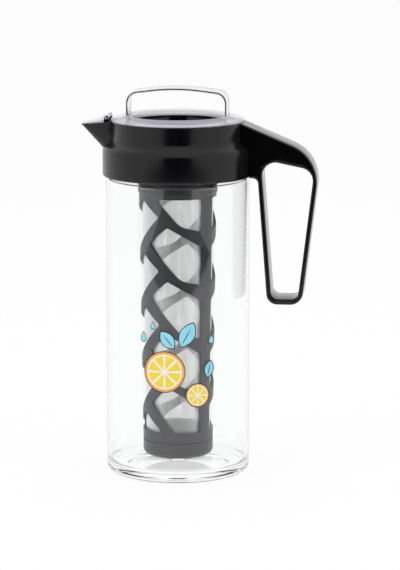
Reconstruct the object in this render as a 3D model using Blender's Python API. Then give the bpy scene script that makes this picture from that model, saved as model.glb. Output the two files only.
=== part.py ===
"""Iced tea maker: a glass jug with a moulded pouring collar, a lid and a long tea infuser.

Metres, +Z up. The jug stands on the plane z = 0, its handle points to +X and its spout to -X.
The frame's origin is the centre of the whole object's footprint. Profiles are lists of corners
(radius or x, z, fillet radius) that rounded_outline turns into outlines with true arcs.
"""
import math

import bmesh
import bpy
from mathutils import Matrix, Vector

MM = 0.001

# Gaps between neighbouring pieces, the overrun of cuts and the fineness of round forms
SEAT_GAP = 0.3 * MM
PIN_GAP = 0.2 * MM
OVERRUN = 2.0 * MM
JUG_STEPS = 32
INFUSER_STEPS = 26
SMALL_STEPS = 12
FILLET_STEP_DEG = 30.0
BROAD_STEP_DEG = 9.0
SMALL_FILLET = 1.55 * MM
SMALL_FILLET_STEP_DEG = 90.0
COLLAR_STEP_DEG = 20.0
PLUG_STEP_DEG = 45.0
BAIL_STEP_DEG = 18.0
SECTOR_STEP_DEG = 10.0
SEAL_STEPS = 6
SHARP_DEG = 35.0
FILLET_ROOM_SHARE = 0.499
WELD_DISTANCE = 0.02 * MM

# Glass jug
GLASS_RADIUS = 50.0 * MM
GLASS_WALL = 2.5 * MM
GLASS_FLOOR = 5.5 * MM
GLASS_CORNER = 4.0 * MM
GLASS_INNER_CORNER = 3.0 * MM
PUNT_RISE = 1.2 * MM
PUNT_SLOPE = 3.0 * MM
FOOT_WIDTH = 14.0 * MM
FOOT_INNER_RADIUS = GLASS_RADIUS - FOOT_WIDTH
SHOULDER_LOW_Z = 206.0 * MM
SHOULDER_RISE = 4.5 * MM
SHOULDER_HIGH_Z = SHOULDER_LOW_Z + SHOULDER_RISE
SHOULDER_FILLET = 5.0 * MM
NECK_STEP = 6.0 * MM
NECK_RADIUS = GLASS_RADIUS - NECK_STEP
NECK_HEIGHT = 20.3 * MM
NECK_FILLET = 2.5 * MM
RIM_Z = SHOULDER_HIGH_Z + NECK_HEIGHT
RIM_FILLET = 1.0 * MM
BEAD_HEIGHT = 4.6 * MM
BEAD_REACH = 1.1 * MM
BEAD_CHAMFER = 0.8 * MM

# Gasket between the glass rim and the collar's ledge
GASKET_THICKNESS = 1.7 * MM
GASKET_FILLET = 0.4 * MM

# Pouring collar
COLLAR_SKIRT_WALL = 2.0 * MM
COLLAR_SKIRT_GAP = 0.2 * MM
COLLAR_LOW_RADIUS = GLASS_RADIUS + COLLAR_SKIRT_GAP + COLLAR_SKIRT_WALL
COLLAR_SEAT_WALL = 1.0 * MM
COLLAR_TOP_RADIUS = NECK_RADIUS + BEAD_REACH + SEAT_GAP + COLLAR_SEAT_WALL
COLLAR_FOOT_RISE = 2.4 * MM
COLLAR_FOOT_Z = SHOULDER_LOW_Z + COLLAR_FOOT_RISE
COLLAR_HEADROOM = 15.6 * MM
COLLAR_RIM_Z = RIM_Z + COLLAR_HEADROOM
COLLAR_SHOULDER_OVER_RIM = 2.2 * MM
COLLAR_SHOULDER_HIGH_Z = RIM_Z + COLLAR_SHOULDER_OVER_RIM
COLLAR_SHOULDER_DROP = 5.0 * MM
COLLAR_SHOULDER_LOW_Z = COLLAR_SHOULDER_HIGH_Z - COLLAR_SHOULDER_DROP
COLLAR_SHOULDER_FILLET = 6.5 * MM
COLLAR_FOOT_FILLET = 1.6 * MM
COLLAR_RIM_FILLET = 0.7 * MM
COLLAR_NECK_WALL = 3.0 * MM
COLLAR_LEDGE = 1.5 * MM
SNAP_RING_HEIGHT = 3.0 * MM

# Spout, from the collar's wall to the lip
SPOUT_LENGTH = 20.8 * MM
SPOUT_REACH = COLLAR_TOP_RADIUS + SPOUT_LENGTH
SPOUT_TIP_DROP = 3.0 * MM
SPOUT_TIP_Z = COLLAR_RIM_Z - SPOUT_TIP_DROP
SPOUT_HALF_WIDTH = 13.0 * MM
SPOUT_KEEL_SINK = 0.2 * MM
SPOUT_KEEL_REACH = COLLAR_LOW_RADIUS - SPOUT_KEEL_SINK
SPOUT_KEEL_DROP = 0.8 * MM
SPOUT_KEEL_Z = COLLAR_SHOULDER_LOW_Z - SPOUT_KEEL_DROP
SPOUT_WALL = 2.0 * MM
SPOUT_LIP_HALF_WIDTH = 1.3 * MM
SPOUT_LIP = 0.6 * MM
SPOUT_CHANNEL_RISE = 0.6 * MM
SPOUT_SEARCH_STEP = 0.15 * MM
SPOUT_SECTION_POWER = 2.6
SPOUT_PLAN_SHARES = (1.35, 0.8)
SPOUT_STATION_SHARES = (0.0, 0.15, 0.32, 0.5, 0.66, 0.8, 0.92, 1.0)
SPOUT_ARCH_STEPS = 6

# Hinge of the spout flap, across the spout's root
FLAP_PIVOT_STAND = 2.0 * MM
FLAP_PIVOT_REACH = COLLAR_TOP_RADIUS + FLAP_PIVOT_STAND
FLAP_PIVOT_RISE = 2.6 * MM
FLAP_PIN_RADIUS = 0.8 * MM
FLAP_KNUCKLE_RADIUS = 1.6 * MM
FLAP_LUG_LENGTH = 2.6 * MM
FLAP_LUG_THICKNESS = 1.9 * MM
FLAP_LUG_INSIDE = 8.9 * MM
FLAP_LEAF_HALF_WIDTH = 6.6 * MM
FLAP_LEAF_REACH = 3.7 * MM
FLAP_LEAF_THICKNESS = 1.5 * MM
FLAP_LEAF_DROP = 0.35 * MM
FLAP_THICKNESS = 1.4 * MM
FLAP_CROWN_ROOT = 4.3 * MM
FLAP_CROWN_TIP = 0.9 * MM
FLAP_ARCH_POWER = 2.3

# Handle: the corners of its side outline, its width and its strap
HANDLE_WIDTH = 26.5 * MM
HANDLE_EDGE = 1.3 * MM
HANDLE_TOP_RISE = 0.6 * MM
HANDLE_TOP_Z = COLLAR_RIM_Z + HANDLE_TOP_RISE
HANDLE_CORNER_STAND = 47.6 * MM
HANDLE_CORNER_REACH = COLLAR_LOW_RADIUS + HANDLE_CORNER_STAND
HANDLE_CORNER_DROP = 23.3 * MM
HANDLE_CORNER_Z = COLLAR_RIM_Z - HANDLE_CORNER_DROP
HANDLE_CORNER_FILLET = 28.0 * MM
HANDLE_GRIP_LEAN = 12.4 * MM
HANDLE_GRIP_FOOT_REACH = HANDLE_CORNER_REACH - HANDLE_GRIP_LEAN
HANDLE_DROP = 88.0 * MM
HANDLE_BOTTOM_Z = COLLAR_FOOT_Z - HANDLE_DROP
HANDLE_GRIP_FOOT_FILLET = 9.0 * MM
HANDLE_LEG_TOP_STAND = 4.4 * MM
HANDLE_LEG_TOP_REACH = COLLAR_LOW_RADIUS + HANDLE_LEG_TOP_STAND
HANDLE_LEG_TOP_FILLET = 4.0 * MM
HANDLE_LEG_LEAN = 6.9 * MM
HANDLE_LEG_FOOT_REACH = HANDLE_LEG_TOP_REACH + HANDLE_LEG_LEAN
HANDLE_LEG_FOOT_FILLET = 7.5 * MM
HANDLE_STRAP = 3.2 * MM
HANDLE_FOOT_STRAP = 4.0 * MM
HANDLE_OPENING_RISE = 5.8 * MM
HANDLE_OPENING_RIGHT_Z = COLLAR_FOOT_Z + HANDLE_OPENING_RISE
HANDLE_OPENING_SLOPE = 7.5 * MM
HANDLE_OPENING_LEFT_Z = HANDLE_OPENING_RIGHT_Z + HANDLE_OPENING_SLOPE
HANDLE_OPENING_FILLET = 9.3 * MM
HANDLE_OPENING_FOOT_FILLET = 5.0 * MM
TENON_HALF_WIDTH = 4.0 * MM
TENON_REACH = 6.0 * MM
TENON_RISE = 3.2 * MM
TENON_LOW_Z = COLLAR_SHOULDER_HIGH_Z + TENON_RISE
TENON_HEIGHT = 6.4 * MM
TENON_HIGH_Z = TENON_LOW_Z + TENON_HEIGHT

# Lid: clear cover ring, black dished plug and its seal
LID_SHELF_WIDTH = 11.2 * MM
LID_DISH_RADIUS = COLLAR_TOP_RADIUS - COLLAR_NECK_WALL - LID_SHELF_WIDTH
LID_DISH_DEPTH = 7.7 * MM
LID_DISH_FILLET = 1.5 * MM
LID_DISH_WALL = 2.2 * MM
LID_FLOOR = 2.0 * MM
LID_COVER_HEIGHT = 4.0 * MM
LID_RIM_WIDTH = 5.0 * MM
LID_RIM_STEP = 1.3 * MM
LID_RIM_SLOPE = 1.2 * MM
LID_FLANGE_DROP = 0.4 * MM
LID_FILLET = 0.8 * MM
LID_FLANGE = 3.1 * MM
LID_SKIRT_WALL = 2.0 * MM
LID_SKIRT_GAP = 0.5 * MM
LID_SKIRT_FOOT_GAP = 0.4 * MM
SEAL_GROOVE_DEPTH = 1.3 * MM
SEAL_GROOVE_HEIGHT = 2.5 * MM
SEAL_GROOVE_DROP = 1.3 * MM
SEAL_BORE_GAP = 0.2 * MM
STRAINER_SLOTS = 7
STRAINER_SLOT_WIDTH = 2.0 * MM
STRAINER_PITCH = 3.7 * MM
STRAINER_FOOT_RISE = 1.4 * MM
STRAINER_HEIGHT = 5.3 * MM

# Bail of the lid: one flat strap with toes under the cover ring
BAIL_WIDTH = 21.0 * MM
BAIL_THICKNESS = 1.4 * MM
BAIL_STAND = 2.1 * MM
BAIL_HALF_SPAN = LID_DISH_RADIUS + BAIL_STAND
BAIL_HEIGHT = 20.3 * MM
BAIL_SHOULDER_Z = COLLAR_RIM_Z + BAIL_HEIGHT
BAIL_ARCH = 4.3 * MM
BAIL_CROWN_Z = BAIL_SHOULDER_Z + BAIL_ARCH
BAIL_SHOULDER_FILLET = 5.2 * MM
BAIL_CROWN_FILLET = 120.0 * MM
BAIL_TOE = 4.0 * MM
BAIL_TOE_FILLET = 1.6 * MM

# Bayonet between the lid plug and the infuser
BOSS_LENGTH = 24.8 * MM
BOSS_WALL = 2.4 * MM
LUG_REACH = 1.4 * MM
LUG_HALF_WIDTH = 1.8 * MM
LUG_HEIGHT = 2.6 * MM
LUG_DROP_FROM_TOP = 3.4 * MM
LUG_SLACK = 0.4 * MM
BAYONET_TURN_DEG = 50.0

# Infuser cage with its lattice windows
CAGE_TOP_RADIUS = 27.0 * MM
CAGE_TAPER = 2.5 * MM
CAGE_FOOT_RADIUS = CAGE_TOP_RADIUS - CAGE_TAPER
CAGE_WALL = 2.0 * MM
CAGE_HEAD_WALL = 1.4 * MM
CAGE_HEAD_DROP = 8.8 * MM
CAGE_HEAD_Z = RIM_Z - CAGE_HEAD_DROP
CAGE_BEAD_REACH = 0.7 * MM
CAGE_BEAD_DROP = 19.5 * MM
CAGE_BEAD_HIGH_Z = CAGE_HEAD_Z - CAGE_BEAD_DROP
CAGE_BEAD_HEIGHT = 5.0 * MM
CAGE_BEAD_LOW_Z = CAGE_BEAD_HIGH_Z - CAGE_BEAD_HEIGHT
CAGE_BEAD_CHAMFER = 0.9 * MM
CAGE_LATTICE_DROP = 3.0 * MM
CAGE_LATTICE_HIGH_Z = CAGE_BEAD_LOW_Z - CAGE_LATTICE_DROP
CAP_CLEARANCE = 5.7 * MM
CAP_FOOT_Z = GLASS_FLOOR + CAP_CLEARANCE
CAP_HEIGHT = 11.2 * MM
CAGE_FOOT_Z = CAP_FOOT_Z + CAP_HEIGHT
CAGE_LEDGE_RISE = 5.6 * MM
CAGE_LEDGE_Z = CAGE_FOOT_Z + CAGE_LEDGE_RISE
CAGE_LEDGE = 1.1 * MM
CAGE_LATTICE_RISE = 1.8 * MM
CAGE_LATTICE_LOW_Z = CAGE_LEDGE_Z + CAGE_LATTICE_RISE
CAGE_EDGE = 0.4 * MM
LATTICE_COLUMNS = 4
LATTICE_RIB_DEG = 57.0
LATTICE_INSET = 0.7 * MM
LATTICE_REFERENCE_RADIUS = CAGE_TOP_RADIUS - LATTICE_INSET
LATTICE_PITCH = 37.6 * MM
LATTICE_APEX_DROP = 9.8 * MM
LATTICE_FIRST_APEX_Z = CAGE_HEAD_Z - LATTICE_APEX_DROP
LATTICE_LEAST_HEIGHT = 6.0 * MM
WINDOW_RIB_HALF_WIDTH = 4.9 * MM
WINDOW_FILLET = 1.5 * MM
WINDOW_BELLY_FILLET = 14.0 * MM
# Corners of one window: (share of a column's width from the straight rib, share of the pitch
# below the apex, 1 for the belly's broad fillet)
WINDOW_CORNER_SHARES = (
    (0.0, 0.37, 0),
    (0.705, -0.015, 0),
    (1.127, 0.303, 0),
    (0.45, 0.975, 1),
    (0.0, 1.08, 0),
)
# The outer end of a window's cutter is drawn to a tip, this share of its reach, to clear the cage
WINDOW_TIP_SHARE = 1.12
WINDOW_EDGE_STEP = 12.0 * MM
WINDOW_STEP_DEG = 45.0

# Mesh sleeve inside the cage
SLEEVE_WALL = 0.5 * MM
SLEEVE_OVER_BEAD = 1.5 * MM
SLEEVE_HIGH_Z = CAGE_BEAD_LOW_Z + SLEEVE_OVER_BEAD

# Screw cap under the infuser and its seal ring
CAP_CORNER = 4.0 * MM
CAP_FLOOR = 3.0 * MM
CAP_SPIGOT_HEIGHT = 5.3 * MM
CAP_SPIGOT_WALL = 2.6 * MM
CAP_GROOVE_DEPTH = 1.3 * MM
CAP_GROOVE_HEIGHT = 1.6 * MM
CAP_GROOVE_RISE = 1.3 * MM
CAP_SEAL_THICKNESS = 1.1 * MM


def arc_points(centre, radius, start, sweep, steps):
    """Points along an arc about a centre, its two ends included."""
    points = []
    for index in range(steps + 1):
        angle = start + sweep * index / steps
        points.append((centre[0] + radius * math.cos(angle), centre[1] + radius * math.sin(angle)))
    return points


def rounded_corner(before, corner, after, radius, step_deg):
    """The arc that rounds one corner of an outline."""
    here = Vector(corner)
    back = Vector(before) - here
    ahead = Vector(after) - here
    angle = back.angle(ahead)
    turn = math.pi - angle
    if radius <= 0 or turn < math.radians(1):
        return [tuple(corner)]
    room = min(back.length, ahead.length) * FILLET_ROOM_SHARE
    radius = min(radius, room * math.tan(angle / 2))
    if radius < SMALL_FILLET:
        step_deg = SMALL_FILLET_STEP_DEG
    tangent = radius / math.tan(angle / 2)
    first = here + back.normalized() * tangent
    middle = (back.normalized() + ahead.normalized()).normalized()
    centre = here + middle * (radius / math.sin(angle / 2))
    start = math.atan2(first.y - centre.y, first.x - centre.x)
    side = back.x * ahead.y - back.y * ahead.x
    sweep = -turn if side > 0 else turn
    steps = max(1, math.ceil(math.degrees(turn) / step_deg - 0.01))
    return arc_points(centre, radius, start, sweep, steps)


def rounded_outline(corners, closed=True, step_deg=FILLET_STEP_DEG):
    """An outline through corners (x, z, fillet radius), with arcs at the rounded ones."""
    points = []
    last = len(corners) - 1
    for index, (x, z, radius) in enumerate(corners):
        if not closed and index in (0, last):
            points.append((x, z))
            continue
        before = corners[index - 1][:2]
        after = corners[(index + 1) % len(corners)][:2]
        points.extend(rounded_corner(before, (x, z), after, radius, step_deg))
    return points


def new_material(name, colour, roughness, metallic=0.0, transmission=0.0):
    """A Principled material with one colour."""
    material = bpy.data.materials.new(name)
    material.use_nodes = True
    shader = material.node_tree.nodes["Principled BSDF"]
    shader.inputs["Base Color"].default_value = (*colour, 1.0)
    shader.inputs["Roughness"].default_value = roughness
    shader.inputs["Metallic"].default_value = metallic
    shader.inputs["Transmission Weight"].default_value = transmission
    return material


def new_empty(name, location, parent=None):
    """An empty that carries the pieces of one body, on that body's axis."""
    empty = bpy.data.objects.new(name, None)
    empty.location = location
    empty.parent = parent
    bpy.context.collection.objects.link(empty)
    return empty


def new_object(name, shape, parent, material=None):
    """An object made from a bmesh: a piece with its material, or a cutter with none."""
    bmesh.ops.recalc_face_normals(shape, faces=shape.faces)
    mesh = bpy.data.meshes.new(name)
    shape.to_mesh(mesh)
    shape.free()
    piece = bpy.data.objects.new(name, mesh)
    piece.parent = parent
    bpy.context.collection.objects.link(piece)
    if material is None:
        piece.hide_render = True
        piece.display_type = "WIRE"
        return piece
    mesh.materials.append(material)
    mesh.shade_smooth()
    mesh.set_sharp_from_angle(angle=math.radians(SHARP_DEG))
    return piece


def boolean(piece, tool, operation):
    """Join a tool solid to a piece, or cut it away."""
    step = piece.modifiers.new(operation.lower() + "_" + tool.name, "BOOLEAN")
    step.operation = operation
    step.solver = "EXACT"
    step.object = tool


def welded(piece):
    """Join the doubled points that cuts leave where edges cross."""
    piece.modifiers.new("weld", "WELD").merge_threshold = WELD_DISTANCE


def turned(profile, steps, closed=True):
    """A solid turned about Z from a profile: a ring, or a solid with ends on the axis."""
    shape = bmesh.new()
    columns = []
    for radius, height in profile:
        if radius == 0:
            columns.append([shape.verts.new((0, 0, height))] * steps)
            continue
        ring = []
        for step in range(steps):
            angle = math.tau * step / steps
            ring.append(shape.verts.new((radius * math.cos(angle), radius * math.sin(angle), height)))
        columns.append(ring)
    spans = len(columns) if closed else len(columns) - 1
    for span in range(spans):
        low = columns[span]
        high = columns[(span + 1) % len(columns)]
        for step in range(steps):
            after = (step + 1) % steps
            corners = [low[step], low[after], high[after], high[step]]
            shape.faces.new(list(dict.fromkeys(corners)))
    return shape


def lofted(sections, tips=None):
    """A solid through closed sections with equal points, its ends flat or drawn to two tips."""
    shape = bmesh.new()
    rings = [[shape.verts.new(point) for point in section] for section in sections]
    for low, high in zip(rings, rings[1:]):
        for index in range(len(low)):
            after = (index + 1) % len(low)
            shape.faces.new((low[index], low[after], high[after], high[index]))
    if tips is None:
        shape.faces.new(rings[0])
        shape.faces.new(reversed(rings[-1]))
        return shape
    for ring, tip in ((rings[0], tips[0]), (rings[-1], tips[1])):
        point = shape.verts.new(tip)
        for index in range(len(ring)):
            shape.faces.new((ring[index], ring[(index + 1) % len(ring)], point))
    return shape


def extruded_y(outline, low_y, high_y):
    """A solid from an outline in the XZ plane, between two values of y."""
    return lofted([[(x, y, z) for x, z in outline] for y in (low_y, high_y)])


def block(low, high):
    """A box between two corners."""
    outline = [(low[0], low[2]), (high[0], low[2]), (high[0], high[2]), (low[0], high[2])]
    return extruded_y(outline, low[1], high[1])


def rod_y(centre, radius, low_y, high_y):
    """A round rod along Y about (x, z)."""
    outline = arc_points(centre, radius, 0, math.tau, SMALL_STEPS)[:-1]
    return extruded_y(outline, low_y, high_y)


def merged(shapes):
    """One bmesh with the faces of several."""
    whole = bmesh.new()
    for shape in shapes:
        mesh = bpy.data.meshes.new("part_of_tool")
        shape.to_mesh(mesh)
        shape.free()
        whole.from_mesh(mesh)
        bpy.data.meshes.remove(mesh)
    return whole


def line_x(first, second, height):
    """The x of the line through two (x, z) points at a height."""
    share = (height - first[1]) / (second[1] - first[1])
    return first[0] + (second[0] - first[0]) * share


# Glass jug


def glass_shape():
    """The jug: footed base, straight wall, rounded shoulder and a beaded neck."""
    inner = GLASS_RADIUS - GLASS_WALL
    mouth = NECK_RADIUS - GLASS_WALL
    bead_z = RIM_Z - BEAD_HEIGHT
    bead = NECK_RADIUS + BEAD_REACH
    inner_shoulder = SHOULDER_FILLET - GLASS_WALL
    corners = [
        (0, PUNT_RISE, 0),
        (FOOT_INNER_RADIUS - PUNT_SLOPE, PUNT_RISE, PUNT_RISE),
        (FOOT_INNER_RADIUS, 0, PUNT_RISE),
        (GLASS_RADIUS, 0, GLASS_CORNER),
        (GLASS_RADIUS, SHOULDER_LOW_Z, SHOULDER_FILLET),
        (NECK_RADIUS, SHOULDER_HIGH_Z, NECK_FILLET),
        (NECK_RADIUS, bead_z, 0),
        (bead, bead_z + BEAD_CHAMFER, 0),
        (bead, RIM_Z, RIM_FILLET),
        (mouth, RIM_Z, RIM_FILLET),
        (mouth, SHOULDER_HIGH_Z - GLASS_WALL / 2, NECK_FILLET),
        (inner, SHOULDER_LOW_Z - GLASS_WALL / 2, inner_shoulder),
        (inner, GLASS_FLOOR, GLASS_INNER_CORNER),
        (0, GLASS_FLOOR, 0),
    ]
    return turned(rounded_outline(corners, closed=False), JUG_STEPS, closed=False)


def gasket_shape():
    """The flat ring that seals the glass rim against the collar's ledge."""
    low = RIM_Z + SEAT_GAP
    inner = NECK_RADIUS - GLASS_WALL + SEAT_GAP
    outer = NECK_RADIUS + BEAD_REACH
    corners = [
        (outer, low, GASKET_FILLET),
        (outer, low + GASKET_THICKNESS, 0),
        (inner, low + GASKET_THICKNESS, 0),
        (inner, low, 0),
    ]
    return turned(rounded_outline(corners), JUG_STEPS)


# Pouring collar with its spout


def collar_outside(gap=0.0):
    """Corners of the collar's outside, foot to rim, grown by a gap."""
    low = COLLAR_LOW_RADIUS + gap
    top = COLLAR_TOP_RADIUS + gap
    return [
        (low, COLLAR_FOOT_Z - gap, COLLAR_FOOT_FILLET),
        (low, COLLAR_SHOULDER_LOW_Z, COLLAR_SHOULDER_FILLET),
        (top, COLLAR_SHOULDER_HIGH_Z, COLLAR_SHOULDER_FILLET),
        (top, COLLAR_RIM_Z + gap, COLLAR_RIM_FILLET),
    ]


def collar_blank(gap=0.0, lengthened=0.0):
    """The collar as a solid turned blank, before its bore."""
    outside = collar_outside(gap)
    foot = outside[0][1] - lengthened
    rim = outside[-1][1] + lengthened
    low = (outside[0][0], foot, outside[0][2])
    top = (outside[-1][0], rim, outside[-1][2])
    corners = [(0, foot, 0), low] + outside[1:-1] + [top, (0, rim, 0)]
    outline = rounded_outline(corners, closed=False, step_deg=COLLAR_STEP_DEG)
    return turned(outline, JUG_STEPS, closed=False)


def ledge_z():
    """The underside of the collar's ledge, on the gasket."""
    return RIM_Z + SEAT_GAP + GASKET_THICKNESS + SEAT_GAP


def collar_bore_radius():
    """The radius of the bore that the lid plug fits."""
    return COLLAR_TOP_RADIUS - COLLAR_NECK_WALL


def collar_bore():
    """What is cut from the blank: lid bore, ledge, neck seat, snap ring and skirt."""
    bore = collar_bore_radius()
    mouth = NECK_RADIUS - GLASS_WALL + SEAT_GAP
    seat = NECK_RADIUS + BEAD_REACH + SEAT_GAP
    snap = NECK_RADIUS + SEAT_GAP
    snap_z = RIM_Z - BEAD_HEIGHT - SEAT_GAP
    skirt = COLLAR_LOW_RADIUS - COLLAR_SKIRT_WALL
    corners = [
        (0, COLLAR_FOOT_Z - OVERRUN, 0),
        (skirt, COLLAR_FOOT_Z - OVERRUN, 0),
        (skirt, snap_z - SNAP_RING_HEIGHT, 0),
        (snap, snap_z - SNAP_RING_HEIGHT, 0),
        (snap, snap_z, 0),
        (seat, snap_z, 0),
        (seat, ledge_z(), 0),
        (mouth, ledge_z(), 0),
        (mouth, ledge_z() + COLLAR_LEDGE, 0),
        (bore, ledge_z() + COLLAR_LEDGE, 0),
        (bore, COLLAR_RIM_Z + OVERRUN, 0),
        (0, COLLAR_RIM_Z + OVERRUN, 0),
    ]
    return turned(rounded_outline(corners, closed=False), JUG_STEPS, closed=False)


def spout_share(reach):
    """How far along the spout a reach lies: 0 at the collar's wall, 1 at the lip."""
    root = math.sqrt(COLLAR_TOP_RADIUS ** 2 - SPOUT_HALF_WIDTH ** 2)
    return max(0.0, (reach - root) / (SPOUT_REACH - root))


def spout_half_width(reach):
    """Half the spout's width, narrowing from the root to a rounded lip."""
    power, blunt = SPOUT_PLAN_SHARES
    narrowing = (1.0 - min(1.0, spout_share(reach)) ** power) ** blunt
    return SPOUT_LIP_HALF_WIDTH + (SPOUT_HALF_WIDTH - SPOUT_LIP_HALF_WIDTH) * narrowing


def spout_rim_z(reach):
    """The height of the spout's rim, falling slightly from the collar to the lip."""
    return COLLAR_RIM_Z + (SPOUT_TIP_Z - COLLAR_RIM_Z) * spout_share(reach)


def spout_keel_z(reach):
    """The height of the spout's straight keel."""
    slope = (SPOUT_TIP_Z - SPOUT_KEEL_Z) / (SPOUT_REACH - SPOUT_KEEL_REACH)
    return SPOUT_KEEL_Z + slope * (reach - SPOUT_KEEL_REACH)


def trough_section(reach, half_width, top, floor):
    """A rounded trough section across the spout at a reach."""
    points = []
    for step in range(2 * SPOUT_ARCH_STEPS + 1):
        angle = math.pi * step / (2 * SPOUT_ARCH_STEPS)
        across = math.cos(angle)
        down = math.sin(angle)
        size = (abs(across) ** SPOUT_SECTION_POWER + down ** SPOUT_SECTION_POWER)
        size = size ** (-1.0 / SPOUT_SECTION_POWER)
        points.append((-reach, half_width * across * size, top - (top - floor) * down * size))
    return points


def stations(start, end):
    """Reaches of the spout's sections between two ends."""
    return [start + (end - start) * share for share in SPOUT_STATION_SHARES]


def spout_stations(end):
    """Reaches from inside the bore, by the middle of the collar's wall, to an end."""
    start = collar_bore_radius() - COLLAR_NECK_WALL
    return [start] + stations(COLLAR_TOP_RADIUS - COLLAR_NECK_WALL / 2, end)


def spout_shape():
    """The spout's outside, from inside the collar's wall to the lip."""
    sections = []
    for reach in spout_stations(SPOUT_REACH):
        floor = min(spout_keel_z(reach), spout_rim_z(reach) - SPOUT_LIP)
        section = trough_section(reach, spout_half_width(reach), spout_rim_z(reach), floor)
        sections.append(section)
    return lofted(sections)


def channel_floor_z(reach):
    """The floor of the pouring channel: level over the ledge, then up the keel to the lip."""
    slope = (SPOUT_TIP_Z - SPOUT_KEEL_Z) / (SPOUT_REACH - SPOUT_KEEL_REACH)
    wall = SPOUT_WALL * math.sqrt(1.0 + slope ** 2)
    return max(ledge_z() + COLLAR_LEDGE + SPOUT_CHANNEL_RISE, spout_keel_z(reach) + wall)


def channel_end():
    """The reach at which the channel's floor comes up to the spout's rim."""
    reach = SPOUT_KEEL_REACH
    while channel_floor_z(reach) < spout_rim_z(reach) - SPOUT_CHANNEL_RISE:
        reach += SPOUT_SEARCH_STEP
    return reach


def channel_shape():
    """What is cut from the spout: the open pouring channel, through the collar's wall."""
    sections = []
    for reach in spout_stations(channel_end()):
        half_width = max(spout_half_width(reach) - SPOUT_WALL, SPOUT_WALL / 2)
        rim = spout_rim_z(reach)
        section = trough_section(reach, half_width, rim, channel_floor_z(reach))
        above = COLLAR_RIM_Z + OVERRUN
        section += [(-reach, -half_width, above), (-reach, half_width, above)]
        sections.append(section)
    return lofted(sections)


def pivot():
    """The flap hinge's (x, z)."""
    return (-FLAP_PIVOT_REACH, COLLAR_RIM_Z + FLAP_PIVOT_RISE)


def flap_lug(side):
    """One hinge lug on the spout's wall, with a round head about the pin."""
    x, z = pivot()
    half = FLAP_LUG_LENGTH / 2
    foot = spout_rim_z(FLAP_PIVOT_REACH) - 2 * SPOUT_WALL
    outline = arc_points((x, z), half, 0, math.pi, SMALL_STEPS // 2)
    outline += [(x - half, foot), (x + half, foot)]
    inside = FLAP_LUG_INSIDE * side
    outside = (FLAP_LUG_INSIDE + FLAP_LUG_THICKNESS) * side
    return extruded_y(outline, min(inside, outside), max(inside, outside))


def tenon_shape(gap=0.0):
    """The tenon on the collar that keys the handle, grown by a gap for its pocket."""
    low = (COLLAR_TOP_RADIUS - COLLAR_NECK_WALL / 2, -TENON_HALF_WIDTH - gap, TENON_LOW_Z - gap)
    high = (COLLAR_TOP_RADIUS + TENON_REACH + gap, TENON_HALF_WIDTH + gap, TENON_HIGH_Z + gap)
    return block(low, high)


def make_collar(parent, material):
    """The collar: turned blank, spout, lugs and tenon, then bore, channel and pin holes."""
    collar = new_object("pouring_collar", collar_blank(), parent, material)
    boolean(collar, new_object("tool_spout", spout_shape(), parent), "UNION")
    lugs = merged([flap_lug(side) for side in (-1, 1)])
    boolean(collar, new_object("tool_lugs", lugs, parent), "UNION")
    boolean(collar, new_object("tool_tenon", tenon_shape(), parent), "UNION")
    boolean(collar, new_object("tool_bore", collar_bore(), parent), "DIFFERENCE")
    boolean(collar, new_object("tool_channel", channel_shape(), parent), "DIFFERENCE")
    reach = FLAP_LUG_INSIDE + FLAP_LUG_THICKNESS + OVERRUN
    hole = rod_y(pivot(), FLAP_PIN_RADIUS + PIN_GAP, -reach, reach)
    boolean(collar, new_object("tool_pin_hole", hole, parent), "DIFFERENCE")
    welded(collar)
    return collar


# Spout flap and its pin


def flap_section(reach):
    """An arched section of the flap: over the spout's rim outside, hollow inside."""
    share = spout_share(reach)
    edge = spout_rim_z(reach) + SEAT_GAP
    crown = FLAP_CROWN_ROOT + (FLAP_CROWN_TIP - FLAP_CROWN_ROOT) * share
    outer = spout_half_width(reach)
    inner = max(outer - FLAP_THICKNESS, outer / 2)
    hollow = max(crown - FLAP_THICKNESS, 0.0)
    points = []
    for half, rise, order in ((outer, crown, 1), (inner, hollow, -1)):
        arch = []
        for step in range(2 * SPOUT_ARCH_STEPS + 1):
            angle = math.pi * step / (2 * SPOUT_ARCH_STEPS)
            across = math.cos(angle)
            up = math.sin(angle)
            size = abs(across) ** FLAP_ARCH_POWER + up ** FLAP_ARCH_POWER
            size = size ** (-1.0 / FLAP_ARCH_POWER)
            arch.append((half * across * size, edge + rise * up * size))
        points += arch[::order]
    return points


def make_flap(parent, material):
    """The clear flap: an arched visor with a leaf and a knuckle on the hinge pin."""
    x, z = pivot()
    rear = FLAP_PIVOT_REACH + FLAP_KNUCKLE_RADIUS + SEAT_GAP
    front = SPOUT_REACH - FLAP_CROWN_TIP
    sections = []
    for reach in stations(rear, front):
        sections.append([(-reach - x, y, height - z) for y, height in flap_section(reach)])
    flap = new_object("spout_flap", lofted(sections), parent, material)
    half = FLAP_LEAF_HALF_WIDTH
    knuckle = FLAP_KNUCKLE_RADIUS
    top = COLLAR_RIM_Z + SEAT_GAP + FLAP_CROWN_ROOT - FLAP_LEAF_DROP - z
    leaf = block((-FLAP_LEAF_REACH, -half, top - FLAP_LEAF_THICKNESS), (0, half, top))
    boolean(flap, new_object("tool_leaf", leaf, flap), "UNION")
    wide = FLAP_LUG_INSIDE - SEAT_GAP
    boolean(flap, new_object("tool_knuckle", rod_y((0, 0), knuckle, -wide, wide), flap), "UNION")
    bore = rod_y((0, 0), FLAP_PIN_RADIUS + PIN_GAP, -wide - OVERRUN, wide + OVERRUN)
    boolean(flap, new_object("tool_flap_bore", bore, flap), "DIFFERENCE")
    welded(flap)
    flap.location = (x, 0, z)
    return flap


def make_pin(parent, material):
    """The steel pin through both lugs and the flap's knuckle."""
    reach = FLAP_LUG_INSIDE + FLAP_LUG_THICKNESS
    return new_object("flap_pin", rod_y(pivot(), FLAP_PIN_RADIUS, -reach, reach), parent, material)


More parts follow.
